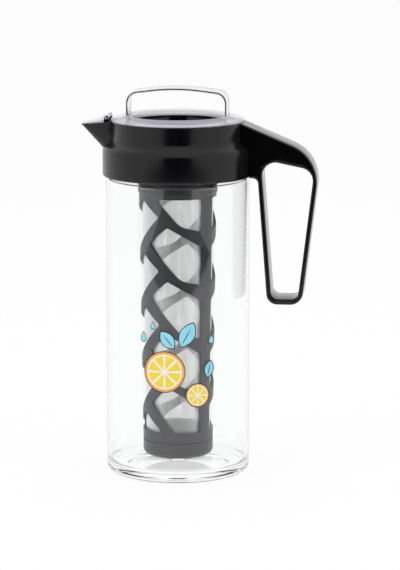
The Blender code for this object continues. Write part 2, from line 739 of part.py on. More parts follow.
# Handle


def handle_outside():
    """Corners of the handle's side outline, from the collar's rim round the loop to its foot."""
    inside = collar_bore_radius()
    return [
        (inside, HANDLE_TOP_Z, 0),
        (HANDLE_CORNER_REACH, HANDLE_CORNER_Z, HANDLE_CORNER_FILLET),
        (HANDLE_GRIP_FOOT_REACH, HANDLE_BOTTOM_Z, HANDLE_GRIP_FOOT_FILLET),
        (HANDLE_LEG_FOOT_REACH, HANDLE_BOTTOM_Z, HANDLE_LEG_FOOT_FILLET),
        (HANDLE_LEG_TOP_REACH, COLLAR_FOOT_Z, HANDLE_LEG_TOP_FILLET),
        (inside, COLLAR_FOOT_Z, 0),
    ]


def handle_opening():
    """Corners of the finger opening, a strap's thickness inside the outline."""
    corner = (HANDLE_CORNER_REACH, HANDLE_CORNER_Z)
    grip_foot = (HANDLE_GRIP_FOOT_REACH, HANDLE_BOTTOM_Z)
    leg_foot = (HANDLE_LEG_FOOT_REACH, HANDLE_BOTTOM_Z)
    leg_top = (HANDLE_LEG_TOP_REACH, COLLAR_FOOT_Z)
    floor = HANDLE_BOTTOM_Z + HANDLE_FOOT_STRAP
    right = HANDLE_OPENING_RIGHT_Z
    left = HANDLE_OPENING_LEFT_Z
    return [
        (line_x(corner, grip_foot, right) - HANDLE_STRAP, right, HANDLE_OPENING_FILLET),
        (line_x(corner, grip_foot, floor) - HANDLE_STRAP, floor, HANDLE_OPENING_FOOT_FILLET),
        (line_x(leg_foot, leg_top, floor) + HANDLE_STRAP, floor, HANDLE_OPENING_FOOT_FILLET),
        (line_x(leg_foot, leg_top, left) + HANDLE_STRAP, left, HANDLE_OPENING_FILLET),
    ]


def handle_reach():
    """The handle's outermost reach from the jug's axis."""
    outline = rounded_outline(handle_outside(), step_deg=BROAD_STEP_DEG)
    return max(x for x, z in outline)


def handle_shape():
    """The looped strap: a filled outline with its opening, extruded with rounded edges."""
    curve = bpy.data.curves.new("handle_outline", "CURVE")
    curve.dimensions = "2D"
    curve.fill_mode = "BOTH"
    curve.extrude = HANDLE_WIDTH / 2 - HANDLE_EDGE
    curve.bevel_depth = HANDLE_EDGE
    curve.bevel_resolution = 0
    curve.offset = -HANDLE_EDGE
    for corners in (handle_outside(), handle_opening()):
        outline = rounded_outline(corners, step_deg=BROAD_STEP_DEG)
        spline = curve.splines.new("POLY")
        spline.points.add(len(outline) - 1)
        for point, (x, z) in zip(spline.points, outline):
            point.co = (x, z, 0, 1)
        spline.use_cyclic_u = True
    guide = bpy.data.objects.new("handle_outline", curve)
    bpy.context.collection.objects.link(guide)
    mesh = bpy.data.meshes.new_from_object(guide.evaluated_get(bpy.context.evaluated_depsgraph_get()))
    shape = bmesh.new()
    shape.from_mesh(mesh)
    bpy.data.objects.remove(guide)
    bpy.data.curves.remove(curve)
    bpy.data.meshes.remove(mesh)
    bmesh.ops.remove_doubles(shape, verts=shape.verts, dist=WELD_DISTANCE)
    bmesh.ops.rotate(shape, verts=shape.verts, matrix=Matrix.Rotation(math.radians(90), 3, "X"))
    return shape


def make_handle(parent, material):
    """The handle, hollowed at its root to the collar's outside and the tenon."""
    handle = new_object("carry_handle", handle_shape(), parent, material)
    hug = collar_blank(SEAT_GAP, OVERRUN)
    boolean(handle, new_object("tool_collar_seat", hug, parent), "DIFFERENCE")
    pocket = tenon_shape(SEAT_GAP)
    boolean(handle, new_object("tool_tenon_pocket", pocket, parent), "DIFFERENCE")
    welded(handle)
    return handle


# Lid


def lid_top_z():
    """The top of the plug's flange, just under the clear cover."""
    return COLLAR_RIM_Z + SEAT_GAP / 2


def cover_foot_z():
    """The underside of the clear cover, seated on the collar's rim."""
    return COLLAR_RIM_Z + SEAT_GAP


def dish_floor_z():
    """The top of the dish's floor."""
    return lid_top_z() - LID_DISH_DEPTH


def boss_radius():
    """The outside of the plug's boss, inside the infuser's head."""
    return CAGE_TOP_RADIUS - CAGE_HEAD_WALL - SEAT_GAP


def skirt_radius():
    """The outside of the plug's skirt, in the collar's bore."""
    return collar_bore_radius() - LID_SKIRT_GAP


def skirt_foot_z():
    """The foot of the plug's skirt, just over the collar's ledge."""
    return ledge_z() + COLLAR_LEDGE + LID_SKIRT_FOOT_GAP


def groove_z():
    """The lower and upper side of the seal's groove."""
    high = lid_top_z() - SEAL_GROOVE_DROP
    return high - SEAL_GROOVE_HEIGHT, high


def plug_shape():
    """The dished plug: dish, flange, grooved skirt and the boss for the infuser."""
    top = lid_top_z()
    floor = dish_floor_z()
    skirt = skirt_radius()
    groove_low, groove_high = groove_z()
    groove = skirt - SEAL_GROOVE_DEPTH
    boss = boss_radius()
    under = floor - LID_FLOOR
    dish_out = LID_DISH_RADIUS + LID_DISH_WALL
    skirt_in = skirt - LID_SKIRT_WALL
    fillet = LID_FILLET
    corners = [
        (0, floor, 0),
        (LID_DISH_RADIUS, floor, LID_DISH_FILLET),
        (LID_DISH_RADIUS, top, 0),
        (skirt, top, 0),
        (skirt, groove_high, 0),
        (groove, groove_high, 0),
        (groove, groove_low, 0),
        (skirt, groove_low, 0),
        (skirt, skirt_foot_z(), fillet),
        (skirt_in, skirt_foot_z(), 0),
        (skirt_in, top - LID_FLANGE, 0),
        (dish_out, top - LID_FLANGE, 0),
        (dish_out, under, 0),
        (boss, under, 0),
        (boss, under - BOSS_LENGTH, fillet),
        (boss - BOSS_WALL, under - BOSS_LENGTH, 0),
        (boss - BOSS_WALL, under, 0),
        (0, under, 0),
    ]
    outline = rounded_outline(corners, closed=False, step_deg=PLUG_STEP_DEG)
    return turned(outline, JUG_STEPS, closed=False)


def strainer_tools():
    """The row of upright slots in the skirt, facing the spout."""
    skirt = skirt_radius()
    low = skirt_foot_z() + STRAINER_FOOT_RISE
    half = STRAINER_SLOT_WIDTH / 2
    tools = []
    for index in range(STRAINER_SLOTS):
        angle = math.pi + (index - (STRAINER_SLOTS - 1) / 2) * STRAINER_PITCH / skirt
        slot = block((skirt - LID_SKIRT_WALL - OVERRUN, -half, low),
                     (skirt + OVERRUN, half, low + STRAINER_HEIGHT))
        bmesh.ops.rotate(slot, verts=slot.verts, matrix=Matrix.Rotation(angle, 3, "Z"))
        tools.append(slot)
    return tools


def toe_z():
    """The middle height of the bail's toes, in their pockets under the cover."""
    return cover_foot_z() - SEAT_GAP - BAIL_THICKNESS / 2


def toe_pockets():
    """Pockets in the plug's flange for the toes of the bail."""
    half = BAIL_WIDTH / 2 + SEAT_GAP
    inner = BAIL_HALF_SPAN - BAIL_THICKNESS / 2 - SEAT_GAP
    outer = BAIL_HALF_SPAN + BAIL_TOE + SEAT_GAP
    low = toe_z() - BAIL_THICKNESS / 2 - SEAT_GAP
    high = lid_top_z() + OVERRUN
    return [block((inner, -half, low), (outer, half, high)),
            block((-outer, -half, low), (-inner, half, high))]


def sector(inner, outer, low, high, start, end):
    """A solid sector of a ring about Z, between two angles."""
    steps = max(2, math.ceil((end - start) / math.radians(SECTOR_STEP_DEG)))
    sections = []
    for step in range(steps + 1):
        angle = start + (end - start) * step / steps
        across = Vector((math.cos(angle), math.sin(angle), 0))
        ring = []
        for radius, height in ((inner, low), (outer, low), (outer, high), (inner, high)):
            ring.append(tuple(across * radius + Vector((0, 0, height))))
        sections.append(ring)
    return lofted(sections)


def lug_low_z():
    """The underside of the infuser's bayonet lugs."""
    return CAGE_HEAD_Z - LUG_DROP_FROM_TOP - LUG_HEIGHT


def bayonet_tools():
    """Two L-shaped grooves in the boss: a run for the turn, and a way in from below."""
    boss = boss_radius()
    foot = dish_floor_z() - LID_FLOOR - BOSS_LENGTH
    inner = boss - LUG_REACH - SEAT_GAP
    outer = boss + OVERRUN
    low = lug_low_z() - LUG_SLACK
    high = lug_low_z() + LUG_HEIGHT + LUG_SLACK
    room = (LUG_HALF_WIDTH + 2 * LUG_SLACK) / inner
    turn = math.radians(BAYONET_TURN_DEG)
    tools = []
    for start in (0.0, math.pi):
        tools.append(sector(inner, outer, low, high, start - room, start + turn + room))
        tools.append(sector(inner, outer, foot - OVERRUN, low + LUG_SLACK,
                            start + turn - room, start + turn + room))
    return tools


def make_plug(parent, material):
    """The lid plug with its strainer slots, toe pockets and bayonet grooves."""
    plug = new_object("lid_plug", plug_shape(), parent, material)
    boolean(plug, new_object("tool_strainer", merged(strainer_tools()), parent), "DIFFERENCE")
    boolean(plug, new_object("tool_toes", merged(toe_pockets()), parent), "DIFFERENCE")
    boolean(plug, new_object("tool_bayonet", merged(bayonet_tools()[0::2]), parent), "DIFFERENCE")
    boolean(plug, new_object("tool_entries", merged(bayonet_tools()[1::2]), parent), "DIFFERENCE")
    welded(plug)
    return plug


def make_cover(parent, material):
    """The clear ring over the plug, with slots for the legs of the bail."""
    foot = cover_foot_z()
    top = foot + LID_COVER_HEIGHT
    rim = LID_DISH_RADIUS + LID_RIM_WIDTH
    shelf = top - LID_RIM_STEP
    corners = [
        (COLLAR_TOP_RADIUS, foot, LID_FILLET / 2),
        (COLLAR_TOP_RADIUS, shelf - LID_FLANGE_DROP, LID_FILLET),
        (rim + LID_RIM_SLOPE, shelf, LID_FILLET),
        (rim, top, LID_FILLET),
        (LID_DISH_RADIUS, top, LID_FILLET),
        (LID_DISH_RADIUS, foot, 0),
    ]
    cover = new_object("lid_cover", turned(rounded_outline(corners), JUG_STEPS), parent, material)
    half = BAIL_WIDTH / 2 + SEAT_GAP
    inner = BAIL_HALF_SPAN - BAIL_THICKNESS / 2 - SEAT_GAP
    outer = BAIL_HALF_SPAN + BAIL_THICKNESS / 2 + SEAT_GAP
    slots = [block((side * BAIL_HALF_SPAN - (outer - inner) / 2, -half, foot - OVERRUN),
                   (side * BAIL_HALF_SPAN + (outer - inner) / 2, half, top + OVERRUN))
             for side in (-1, 1)]
    boolean(cover, new_object("tool_leg_slots", merged(slots), parent), "DIFFERENCE")
    return cover


def lid_seal_shape():
    """The soft ring in the groove of the plug's skirt."""
    low, high = groove_z()
    inner = skirt_radius() - SEAL_GROOVE_DEPTH + SEAT_GAP
    outer = collar_bore_radius() - SEAL_BORE_GAP
    body = skirt_radius()
    corners = [
        (inner, low + SEAT_GAP, 0),
        (body, low + SEAT_GAP, 0),
        (outer, (low + high) / 2, 0),
        (body, high - SEAT_GAP, 0),
        (inner, high - SEAT_GAP, 0),
    ]
    return turned(rounded_outline(corners), JUG_STEPS)


def bail_shape():
    """The bail: a flat strap bent along one path, toes included."""
    low = toe_z()
    toe = BAIL_HALF_SPAN + BAIL_TOE
    right = [
        (0, BAIL_CROWN_Z, BAIL_CROWN_FILLET),
        (BAIL_HALF_SPAN, BAIL_SHOULDER_Z, BAIL_SHOULDER_FILLET),
        (BAIL_HALF_SPAN, low, BAIL_TOE_FILLET),
        (toe, low, 0),
    ]
    left = [(-x, z, fillet) for x, z, fillet in reversed(right[1:])]
    path = with_middles(rounded_outline(left + right, closed=False, step_deg=BAIL_STEP_DEG))
    points = [Vector(point) for point in path]
    outer = []
    inner = []
    for index, here in enumerate(points):
        first = here - points[index - 1] if index else points[1] - here
        second = points[index + 1] - here if index + 1 < len(points) else first
        along = (first.normalized() + second.normalized()).normalized()
        reach = BAIL_THICKNESS / 2 / along.dot(first.normalized())
        outer.append((here.x - along.y * reach, here.y + along.x * reach))
        inner.append((here.x + along.y * reach, here.y - along.x * reach))
    return extruded_y(outer + inner[::-1], -BAIL_WIDTH / 2, BAIL_WIDTH / 2)


def with_middles(path):
    """The path with an extra point halfway along each long run."""
    points = []
    for first, second in zip(path, path[1:]):
        points.append(first)
        if abs(second[0] - first[0]) > BAIL_HALF_SPAN / 2:
            points.append(((first[0] + second[0]) / 2, (first[1] + second[1]) / 2))
    return points + [path[-1]]


# Infuser


def taper_top_z():
    """Where the cage's taper ends, under the head's bead."""
    return CAGE_BEAD_LOW_Z - CAGE_BEAD_CHAMFER


def cage_radius(height, inset=0.0):
    """The cage's tapered outside at a height, less an inset."""
    share = (height - CAGE_FOOT_Z) / (taper_top_z() - CAGE_FOOT_Z)
    return CAGE_FOOT_RADIUS + (CAGE_TOP_RADIUS - CAGE_FOOT_RADIUS) * share - inset


def cage_bore_radius():
    """The bore of the cage's foot, which takes the cap's spigot."""
    return cage_radius(CAGE_LEDGE_Z, CAGE_WALL) - CAGE_LEDGE


def cage_blank():
    """The cage before its windows: tapered tube, head with a bead, and a ledge at the foot."""
    head = CAGE_TOP_RADIUS
    bead = head + CAGE_BEAD_REACH
    head_in = head - CAGE_HEAD_WALL
    bore = cage_bore_radius()
    corners = [
        (CAGE_FOOT_RADIUS, CAGE_FOOT_Z, CAGE_EDGE),
        (head, taper_top_z(), 0),
        (bead, CAGE_BEAD_LOW_Z, 0),
        (bead, CAGE_BEAD_HIGH_Z, 0),
        (head, CAGE_BEAD_HIGH_Z + CAGE_BEAD_CHAMFER, 0),
        (head, CAGE_HEAD_Z, CAGE_EDGE),
        (head_in, CAGE_HEAD_Z, CAGE_EDGE),
        (head_in, CAGE_BEAD_HIGH_Z + CAGE_BEAD_CHAMFER, 0),
        (head - CAGE_WALL, CAGE_BEAD_HIGH_Z, 0),
        (head - CAGE_WALL, taper_top_z(), 0),
        (cage_radius(CAGE_LEDGE_Z, CAGE_WALL), CAGE_LEDGE_Z, 0),
        (bore, CAGE_LEDGE_Z, 0),
        (bore, CAGE_FOOT_Z, CAGE_EDGE),
    ]
    return turned(rounded_outline(corners), INFUSER_STEPS)


def window_outline():
    """One lattice window, flat: distance from the straight rib's middle, and height from apex."""
    column = math.tau / LATTICE_COLUMNS * LATTICE_REFERENCE_RADIUS - WINDOW_RIB_HALF_WIDTH
    corners = []
    for across, down, belly in WINDOW_CORNER_SHARES:
        fillet = WINDOW_BELLY_FILLET if belly else WINDOW_FILLET
        corners.append((WINDOW_RIB_HALF_WIDTH + across * column, -down * LATTICE_PITCH, fillet))
    return rounded_outline(corners, step_deg=WINDOW_STEP_DEG)


def divided(outline, longest):
    """A closed outline with its long edges divided, so that it wraps closely on the cage."""
    points = []
    for index, here in enumerate(outline):
        after = outline[(index + 1) % len(outline)]
        parts = max(1, math.ceil(math.dist(here, after) / longest))
        for part in range(parts):
            share = part / parts
            points.append((here[0] + (after[0] - here[0]) * share,
                           here[1] + (after[1] - here[1]) * share))
    return points


def clipped(outline, limit, keep_below):
    """The part of an outline on one side of a level."""
    sign = 1.0 if keep_below else -1.0
    kept = []
    for index, here in enumerate(outline):
        before = outline[index - 1]
        inside = sign * (limit - here[1]) >= 0
        was_inside = sign * (limit - before[1]) >= 0
        if inside != was_inside:
            share = (limit - before[1]) / (here[1] - before[1])
            kept.append((before[0] + (here[0] - before[0]) * share, limit))
        if inside:
            kept.append(here)
    return kept


def window_tool(column, apex_z):
    """The cutter of one window: its outline wrapped on the cage and drawn out radially."""
    outline = [(across, apex_z + height) for across, height in window_outline()]
    outline = clipped(outline, CAGE_LATTICE_HIGH_Z, True)
    outline = clipped(outline, CAGE_LATTICE_LOW_Z, False)
    if not outline:
        return None
    outline = divided(outline, WINDOW_EDGE_STEP)
    heights = [height for across, height in outline]
    if max(heights) - min(heights) < LATTICE_LEAST_HEIGHT:
        return None
    outline.append((sum(across for across, height in outline) / len(outline),
                    sum(heights) / len(heights)))
    rib = math.radians(LATTICE_RIB_DEG + (column // 2) * 180.0)
    mirror = 1.0 if column % 2 else -1.0
    sections = []
    tips = []
    inner = CAGE_FOOT_RADIUS - CAGE_WALL - OVERRUN
    outer = CAGE_TOP_RADIUS + OVERRUN
    for radius, tip_radius in ((inner, inner), (outer, outer * WINDOW_TIP_SHARE)):
        section = []
        for across, height in outline:
            angle = rib + mirror * across / LATTICE_REFERENCE_RADIUS
            section.append(Vector((radius * math.sin(angle), -radius * math.cos(angle), height)))
        middle = section.pop()
        tips.append((middle.x * tip_radius / radius, middle.y * tip_radius / radius, middle.z))
        sections.append(section)
    return lofted(sections, tips)


def window_tools():
    """All windows: mirrored pairs beside each straight rib, the second pair half a pitch lower."""
    rows = math.ceil((LATTICE_FIRST_APEX_Z - CAGE_LATTICE_LOW_Z) / LATTICE_PITCH)
    tools = []
    for column in range(LATTICE_COLUMNS):
        lower = LATTICE_PITCH / 2 * (column // 2)
        for row in range(rows):
            tool = window_tool(column, LATTICE_FIRST_APEX_Z - lower - row * LATTICE_PITCH)
            if tool is not None:
                tools.append(tool)
    return tools


def make_cage(parent, material):
    """The lattice cage with its head and the two bayonet lugs inside it."""
    cage = new_object("infuser_cage", cage_blank(), parent, material)
    boolean(cage, new_object("tool_windows", merged(window_tools()), parent), "DIFFERENCE")
    tip = boss_radius() - LUG_REACH
    root = CAGE_TOP_RADIUS - CAGE_HEAD_WALL / 2
    half = LUG_HALF_WIDTH / root
    lugs = []
    for start in (0.0, math.pi):
        lugs.append(sector(tip, root, lug_low_z(), lug_low_z() + LUG_HEIGHT, start - half, start + half))
    boolean(cage, new_object("tool_bayonet_lugs", merged(lugs), parent), "UNION")
    welded(cage)
    return cage


def sleeve_shape():
    """The fine mesh sleeve as a thin tapered tube on the cage's ledge."""
    low = CAGE_LEDGE_Z + SEAT_GAP
    corners = []
    for height, inset in ((low, 0), (taper_top_z(), 0), (SLEEVE_HIGH_Z, 0),
                          (SLEEVE_HIGH_Z, SLEEVE_WALL), (taper_top_z(), SLEEVE_WALL),
                          (low, SLEEVE_WALL)):
        radius = min(cage_radius(height), CAGE_TOP_RADIUS) - CAGE_WALL - SEAT_GAP - inset
        corners.append((radius, height, 0))
    return turned(rounded_outline(corners), INFUSER_STEPS)


def spigot_radius():
    """The outside of the cap's spigot."""
    return cage_bore_radius() - SEAT_GAP


def cap_groove_z():
    """The lower and upper side of the seal's groove on the spigot."""
    low = CAGE_FOOT_Z - SEAT_GAP + CAP_GROOVE_RISE
    return low, low + CAP_GROOVE_HEIGHT


def cap_shape():
    """The cup-shaped screw cap, with a grooved spigot."""
    rim = CAGE_FOOT_Z - SEAT_GAP
    spigot = spigot_radius()
    inner = spigot - CAP_SPIGOT_WALL
    groove = spigot - CAP_GROOVE_DEPTH
    low, high = cap_groove_z()
    corners = [
        (0, CAP_FOOT_Z, 0),
        (CAGE_FOOT_RADIUS, CAP_FOOT_Z, CAP_CORNER),
        (CAGE_FOOT_RADIUS, rim, CAGE_EDGE),
        (spigot, rim, 0),
        (spigot, low, 0),
        (groove, low, 0),
        (groove, high, 0),
        (spigot, high, 0),
        (spigot, rim + CAP_SPIGOT_HEIGHT, 0),
        (inner, rim + CAP_SPIGOT_HEIGHT, 0),
        (inner, CAP_FOOT_Z + CAP_FLOOR, CAP_FLOOR),
        (0, CAP_FOOT_Z + CAP_FLOOR, 0),
    ]
    return turned(rounded_outline(corners, closed=False), INFUSER_STEPS, closed=False)


def cap_seal_shape():
    """The round seal ring in the spigot's groove."""
    low, high = cap_groove_z()
    half = CAP_SEAL_THICKNESS / 2
    centre = (cage_bore_radius() - SEAL_BORE_GAP - half, (low + high) / 2)
    return turned(arc_points(centre, half, 0, math.tau, SEAL_STEPS)[:-1], INFUSER_STEPS)


def build():
    """Build the whole iced tea maker."""
    for leftover in list(bpy.data.objects):
        bpy.data.objects.remove(leftover, do_unlink=True)

    glass = new_material("clear_glass", (0.95, 0.97, 0.98), 0.02, transmission=1.0)
    black = new_material("black_plastic", (0.012, 0.012, 0.014), 0.25)
    clear = new_material("clear_plastic", (0.78, 0.78, 0.86), 0.08, transmission=0.9)
    slate = new_material("infuser_plastic", (0.045, 0.045, 0.05), 0.35)
    steel = new_material("polished_steel", (0.75, 0.75, 0.76), 0.15, metallic=1.0)
    mesh = new_material("steel_mesh", (0.72, 0.72, 0.74), 0.35, metallic=1.0)
    silicone = new_material("silicone", (0.8, 0.8, 0.8), 0.5)

    jug = new_empty("jug_axis", ((SPOUT_REACH - handle_reach()) / 2, 0, 0))
    lid = new_empty("lid_axis", (0, 0, 0), jug)
    infuser = new_empty("infuser_axis", (0, 0, 0), lid)
    cap = new_empty("cap_axis", (0, 0, 0), infuser)

    new_object("glass_jug", glass_shape(), jug, glass)
    new_object("neck_gasket", gasket_shape(), jug, silicone)
    make_collar(jug, black)
    make_handle(jug, black)
    make_pin(jug, steel)
    make_flap(jug, clear)

    make_plug(lid, black)
    make_cover(lid, clear)
    new_object("lid_seal", lid_seal_shape(), lid, silicone)
    new_object("lid_bail", bail_shape(), lid, steel)

    make_cage(infuser, slate)
    new_object("infuser_mesh", sleeve_shape(), infuser, mesh)
    new_object("infuser_cap", cap_shape(), cap, slate)
    new_object("cap_seal", cap_seal_shape(), cap, silicone)


build()
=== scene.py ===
"""Iced tea maker: the fine surfaces, the finishes, the studio and the camera.

Sizes are written in millimetres and turned into metres by MM. Every piece stands about the
jug's axis, with the handle towards +X, the spout towards -X and the viewer towards -Y.
SEAT_GAP parts pieces that seat on each other, and OVERRUN carries a cutter past its piece.
"""
import logging
import math
from dataclasses import dataclass
from enum import Enum
from typing import Optional, Sequence, Union
import bmesh
import bpy
from mathutils import Matrix, Vector


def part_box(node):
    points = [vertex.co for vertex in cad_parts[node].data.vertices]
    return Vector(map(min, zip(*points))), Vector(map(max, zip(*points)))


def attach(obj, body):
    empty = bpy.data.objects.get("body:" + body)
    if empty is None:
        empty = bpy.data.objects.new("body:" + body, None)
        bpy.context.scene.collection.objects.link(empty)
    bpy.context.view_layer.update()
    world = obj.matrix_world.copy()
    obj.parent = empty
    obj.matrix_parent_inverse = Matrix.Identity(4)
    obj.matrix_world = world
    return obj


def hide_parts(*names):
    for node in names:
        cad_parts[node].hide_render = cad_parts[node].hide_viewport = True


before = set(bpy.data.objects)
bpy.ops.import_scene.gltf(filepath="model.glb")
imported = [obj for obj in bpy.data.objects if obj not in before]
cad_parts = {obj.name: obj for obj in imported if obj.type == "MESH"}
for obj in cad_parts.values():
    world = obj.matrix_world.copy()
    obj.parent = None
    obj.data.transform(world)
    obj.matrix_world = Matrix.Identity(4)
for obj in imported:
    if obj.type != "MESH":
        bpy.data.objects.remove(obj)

MM = 0.001
WELD = 0.002 * MM
SEAT_GAP = 0.3
OVERRUN = 2.0
LOG = logging.getLogger("iced_tea_maker")
Point = tuple[float, float]
Corner = tuple[float, float, float]
Colour = tuple[float, float, float]


class Body(Enum):
    """The bodies that move against each other."""

    JUG = "jug"
    FLAP = "flap"
    LID = "lid"
    INFUSER = "infuser"
    CAP = "cap"


class SolidStep(Enum):
    """How a tool solid acts on a piece."""

    JOIN = "UNION"
    CUT = "DIFFERENCE"


def jug_axis() -> float:
    """The x of the jug's axis."""
    low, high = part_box("glass_jug")
    return (low.x + high.x) / 2


AXIS = jug_axis()


def rounded(corners: Sequence[Corner], closed: bool, step_deg: float = 10.0) -> list[Point]:
    """Round the corners of an outline with true arcs.

    Args:
        corners: (x or radius, z, fillet radius) of each corner, in millimetres.
        closed: whether the last corner joins the first.
        step_deg: the angle of one step of an arc.

    Returns:
        The points of the outline, in millimetres.
    """
    points = []
    for index, (x, z, radius) in enumerate(corners):
        here = Vector((x, z))
        if radius == 0 or (not closed and index in (0, len(corners) - 1)):
            points.append((x, z))
            continue
        back = Vector(corners[index - 1][:2]) - here
        ahead = Vector(corners[(index + 1) % len(corners)][:2]) - here
        angle = back.angle(ahead)
        turn = math.pi - angle
        if turn < math.radians(1):
            points.append((x, z))
            continue
        radius = min(radius, 0.499 * min(back.length, ahead.length) * math.tan(angle / 2))
        first = here + back.normalized() * (radius / math.tan(angle / 2))
        middle = (back.normalized() + ahead.normalized()).normalized()
        centre = here + middle * (radius / math.sin(angle / 2))
        start = math.atan2(first.y - centre.y, first.x - centre.x)
        sweep = -turn if back.x * ahead.y - back.y * ahead.x > 0 else turn
        steps = max(2, math.ceil(math.degrees(turn) / step_deg))
        for step in range(steps + 1):
            here_angle = start + sweep * step / steps
            points.append((centre.x + radius * math.cos(here_angle),
                           centre.y + radius * math.sin(here_angle)))
    return points


def between(outline: Sequence[Point], longest: float) -> list[Point]:
    """Divide the long edges of a closed outline.

    Args:
        outline: the outline's points.
        longest: the longest edge that stays whole.

    Returns:
        The outline with its long edges divided.
    """
    points = []
    for index, here in enumerate(outline):
        after = outline[(index + 1) % len(outline)]
        parts = max(1, math.ceil(math.dist(here, after) / longest))
        points += [(here[0] + (after[0] - here[0]) * part / parts,
                    here[1] + (after[1] - here[1]) * part / parts) for part in range(parts)]
    return points


def half_oval(steps: int, squareness: float) -> list[Point]:
    """Half a rounded oblong of unit half width and depth, from side to side.

    Args:
        steps: the steps from side to side.
        squareness: 2 for a half circle, more for a squarer form.

    Returns:
        How far across and how far out each point lies.
    """
    points = []
    for step in range(steps + 1):
        angle = math.pi * step / steps
        across, out = math.cos(angle), math.sin(angle)
        size = (abs(across) ** squareness + out ** squareness) ** (-1.0 / squareness)
        points.append((across * size, out * size))
    return points


class Bench:
    """The workbench: primitives shaped in edit mode, solid steps and shading."""

    @staticmethod
    def clear() -> None:
        """Leave edit mode with nothing selected."""
        if bpy.context.object is not None and bpy.context.object.mode != "OBJECT":
            bpy.ops.object.mode_set(mode="OBJECT")
        bpy.ops.object.select_all(action="DESELECT")

    @classmethod
    def pick(cls, piece: bpy.types.Object) -> None:
        """Make one piece the only selected and active object."""
        cls.clear()
        piece.select_set(True)
        bpy.context.view_layer.objects.active = piece

    @staticmethod
    def named(name: str) -> bpy.types.Object:
        """Name the new active object and its mesh, and go into edit mode."""
        piece = bpy.context.object
        piece.name = name
        piece.data.name = name
        bpy.ops.object.mode_set(mode="EDIT")
        return piece

    @staticmethod
    def tidy() -> None:
        """Merge doubled points, turn the faces outwards and leave edit mode."""
        bpy.ops.mesh.select_all(action="SELECT")
        bpy.ops.mesh.remove_doubles(threshold=WELD)
        bpy.ops.mesh.normals_make_consistent(inside=False)
        bpy.ops.object.mode_set(mode="OBJECT")

    @classmethod
    def turned(cls, name: str, profile: Sequence[Point], steps: int) -> bpy.types.Object:
        """Draw a profile by extruding one point, and spin it about the jug's axis.

        Args:
            name: the piece's name.
            profile: (radius, z) in millimetres, closed or with both ends on the axis.
            steps: the steps of a full turn.

        Returns:
            The turned piece.
        """
        cls.clear()
        bpy.ops.mesh.primitive_plane_add(size=MM, location=(0, 0, 0))
        piece = cls.named(name)
        bpy.ops.mesh.merge(type="CENTER")
        here = (profile[0][0], profile[0][1])
        bpy.ops.transform.translate(value=(AXIS + here[0] * MM, 0, here[1] * MM))
        for after in profile[1:]:
            move = ((after[0] - here[0]) * MM, 0, (after[1] - here[1]) * MM)
            bpy.ops.mesh.extrude_region_move(TRANSFORM_OT_translate={"value": move})
            here = after
        bpy.ops.mesh.select_all(action="SELECT")
        bpy.ops.mesh.spin(steps=steps, angle=math.tau, center=(AXIS, 0, 0), axis=(0, 0, 1))
        cls.tidy()
        return piece

    @classmethod
    def skinned(cls, name: str, rings: Sequence[Sequence[Vector]],
                tip: Optional[Vector] = None) -> bpy.types.Object:
        """Extrude a filled ring through further rings of as many points.

        Args:
            name: the piece's name.
            rings: the points of each ring, in metres.
            tip: where the last face is drawn to, or None for a flat end.

        Returns:
            The closed piece.
        """
        cls.clear()
        bpy.ops.mesh.primitive_circle_add(vertices=len(rings[0]), fill_type="NGON")
        piece = cls.named(name)
        mesh = bmesh.from_edit_mesh(piece.data)
        order = mesh.verts.layers.int.new("order")
        for index, vertex in enumerate(mesh.verts):
            vertex[order] = index
            vertex.co = rings[0][index]
        for ring in rings[1:]:
            bpy.ops.mesh.extrude_region_move()
            mesh = bmesh.from_edit_mesh(piece.data)
            order = mesh.verts.layers.int["order"]
            for vertex in mesh.verts:
                if vertex.select:
                    vertex.co = ring[vertex[order]]
        if tip is not None:
            bpy.ops.mesh.poke()
            mesh = bmesh.from_edit_mesh(piece.data)
            mesh.verts.ensure_lookup_table()
            mesh.verts[-1].co = tip
        mesh.verts.layers.int.remove(mesh.verts.layers.int["order"])
        bmesh.update_edit_mesh(piece.data)
        cls.tidy()
        return piece

    @classmethod
    def block(cls, name: str, low: Sequence[float], high: Sequence[float]) -> bpy.types.Object:
        """A box between two corners about the jug's axis, in millimetres."""
        ring = [(low[0], low[1]), (high[0], low[1]), (high[0], high[1]), (low[0], high[1])]
        rings = [[Vector((AXIS + x * MM, y * MM, z * MM)) for x, y in ring]
                 for z in (low[2], high[2])]
        return cls.skinned(name, rings)

    @classmethod
    def rod_y(cls, name: str, x: float, z: float, radius: float, half: float) -> bpy.types.Object:
        """A round rod along Y about (x, z), in millimetres from the jug's axis."""
        angles = [math.tau * step / 32 for step in range(32)]
        rings = [[Vector((AXIS + (x + radius * math.cos(a)) * MM, y * MM,
                          (z + radius * math.sin(a)) * MM)) for a in angles]
                 for y in (-half, half)]
        return cls.skinned(name, rings)

    @classmethod
    def solid(cls, piece: bpy.types.Object, tool: bpy.types.Object, step: SolidStep) -> None:
        """Join a tool to a piece or cut it away, and put the tool away."""
        cls.pick(piece)
        bpy.ops.object.modifier_add(type="BOOLEAN")
        change = piece.modifiers[-1]
        change.operation = step.value
        change.solver = "EXACT"
        change.object = tool
        bpy.ops.object.modifier_apply(modifier=change.name)
        bpy.data.objects.remove(tool, do_unlink=True)

    @classmethod
    def softened(cls, piece: bpy.types.Object, width: float, segments: int,
                 angle: float = 40.0) -> None:
        """Bevel the sharp edges of a piece by a width in millimetres."""
        cls.pick(piece)
        bpy.ops.object.modifier_add(type="BEVEL")
        change = piece.modifiers[-1]
        change.width = width * MM
        change.segments = segments
        change.limit_method = "ANGLE"
        change.angle_limit = math.radians(angle)
        change.use_clamp_overlap = True
        bpy.ops.object.modifier_apply(modifier=change.name)

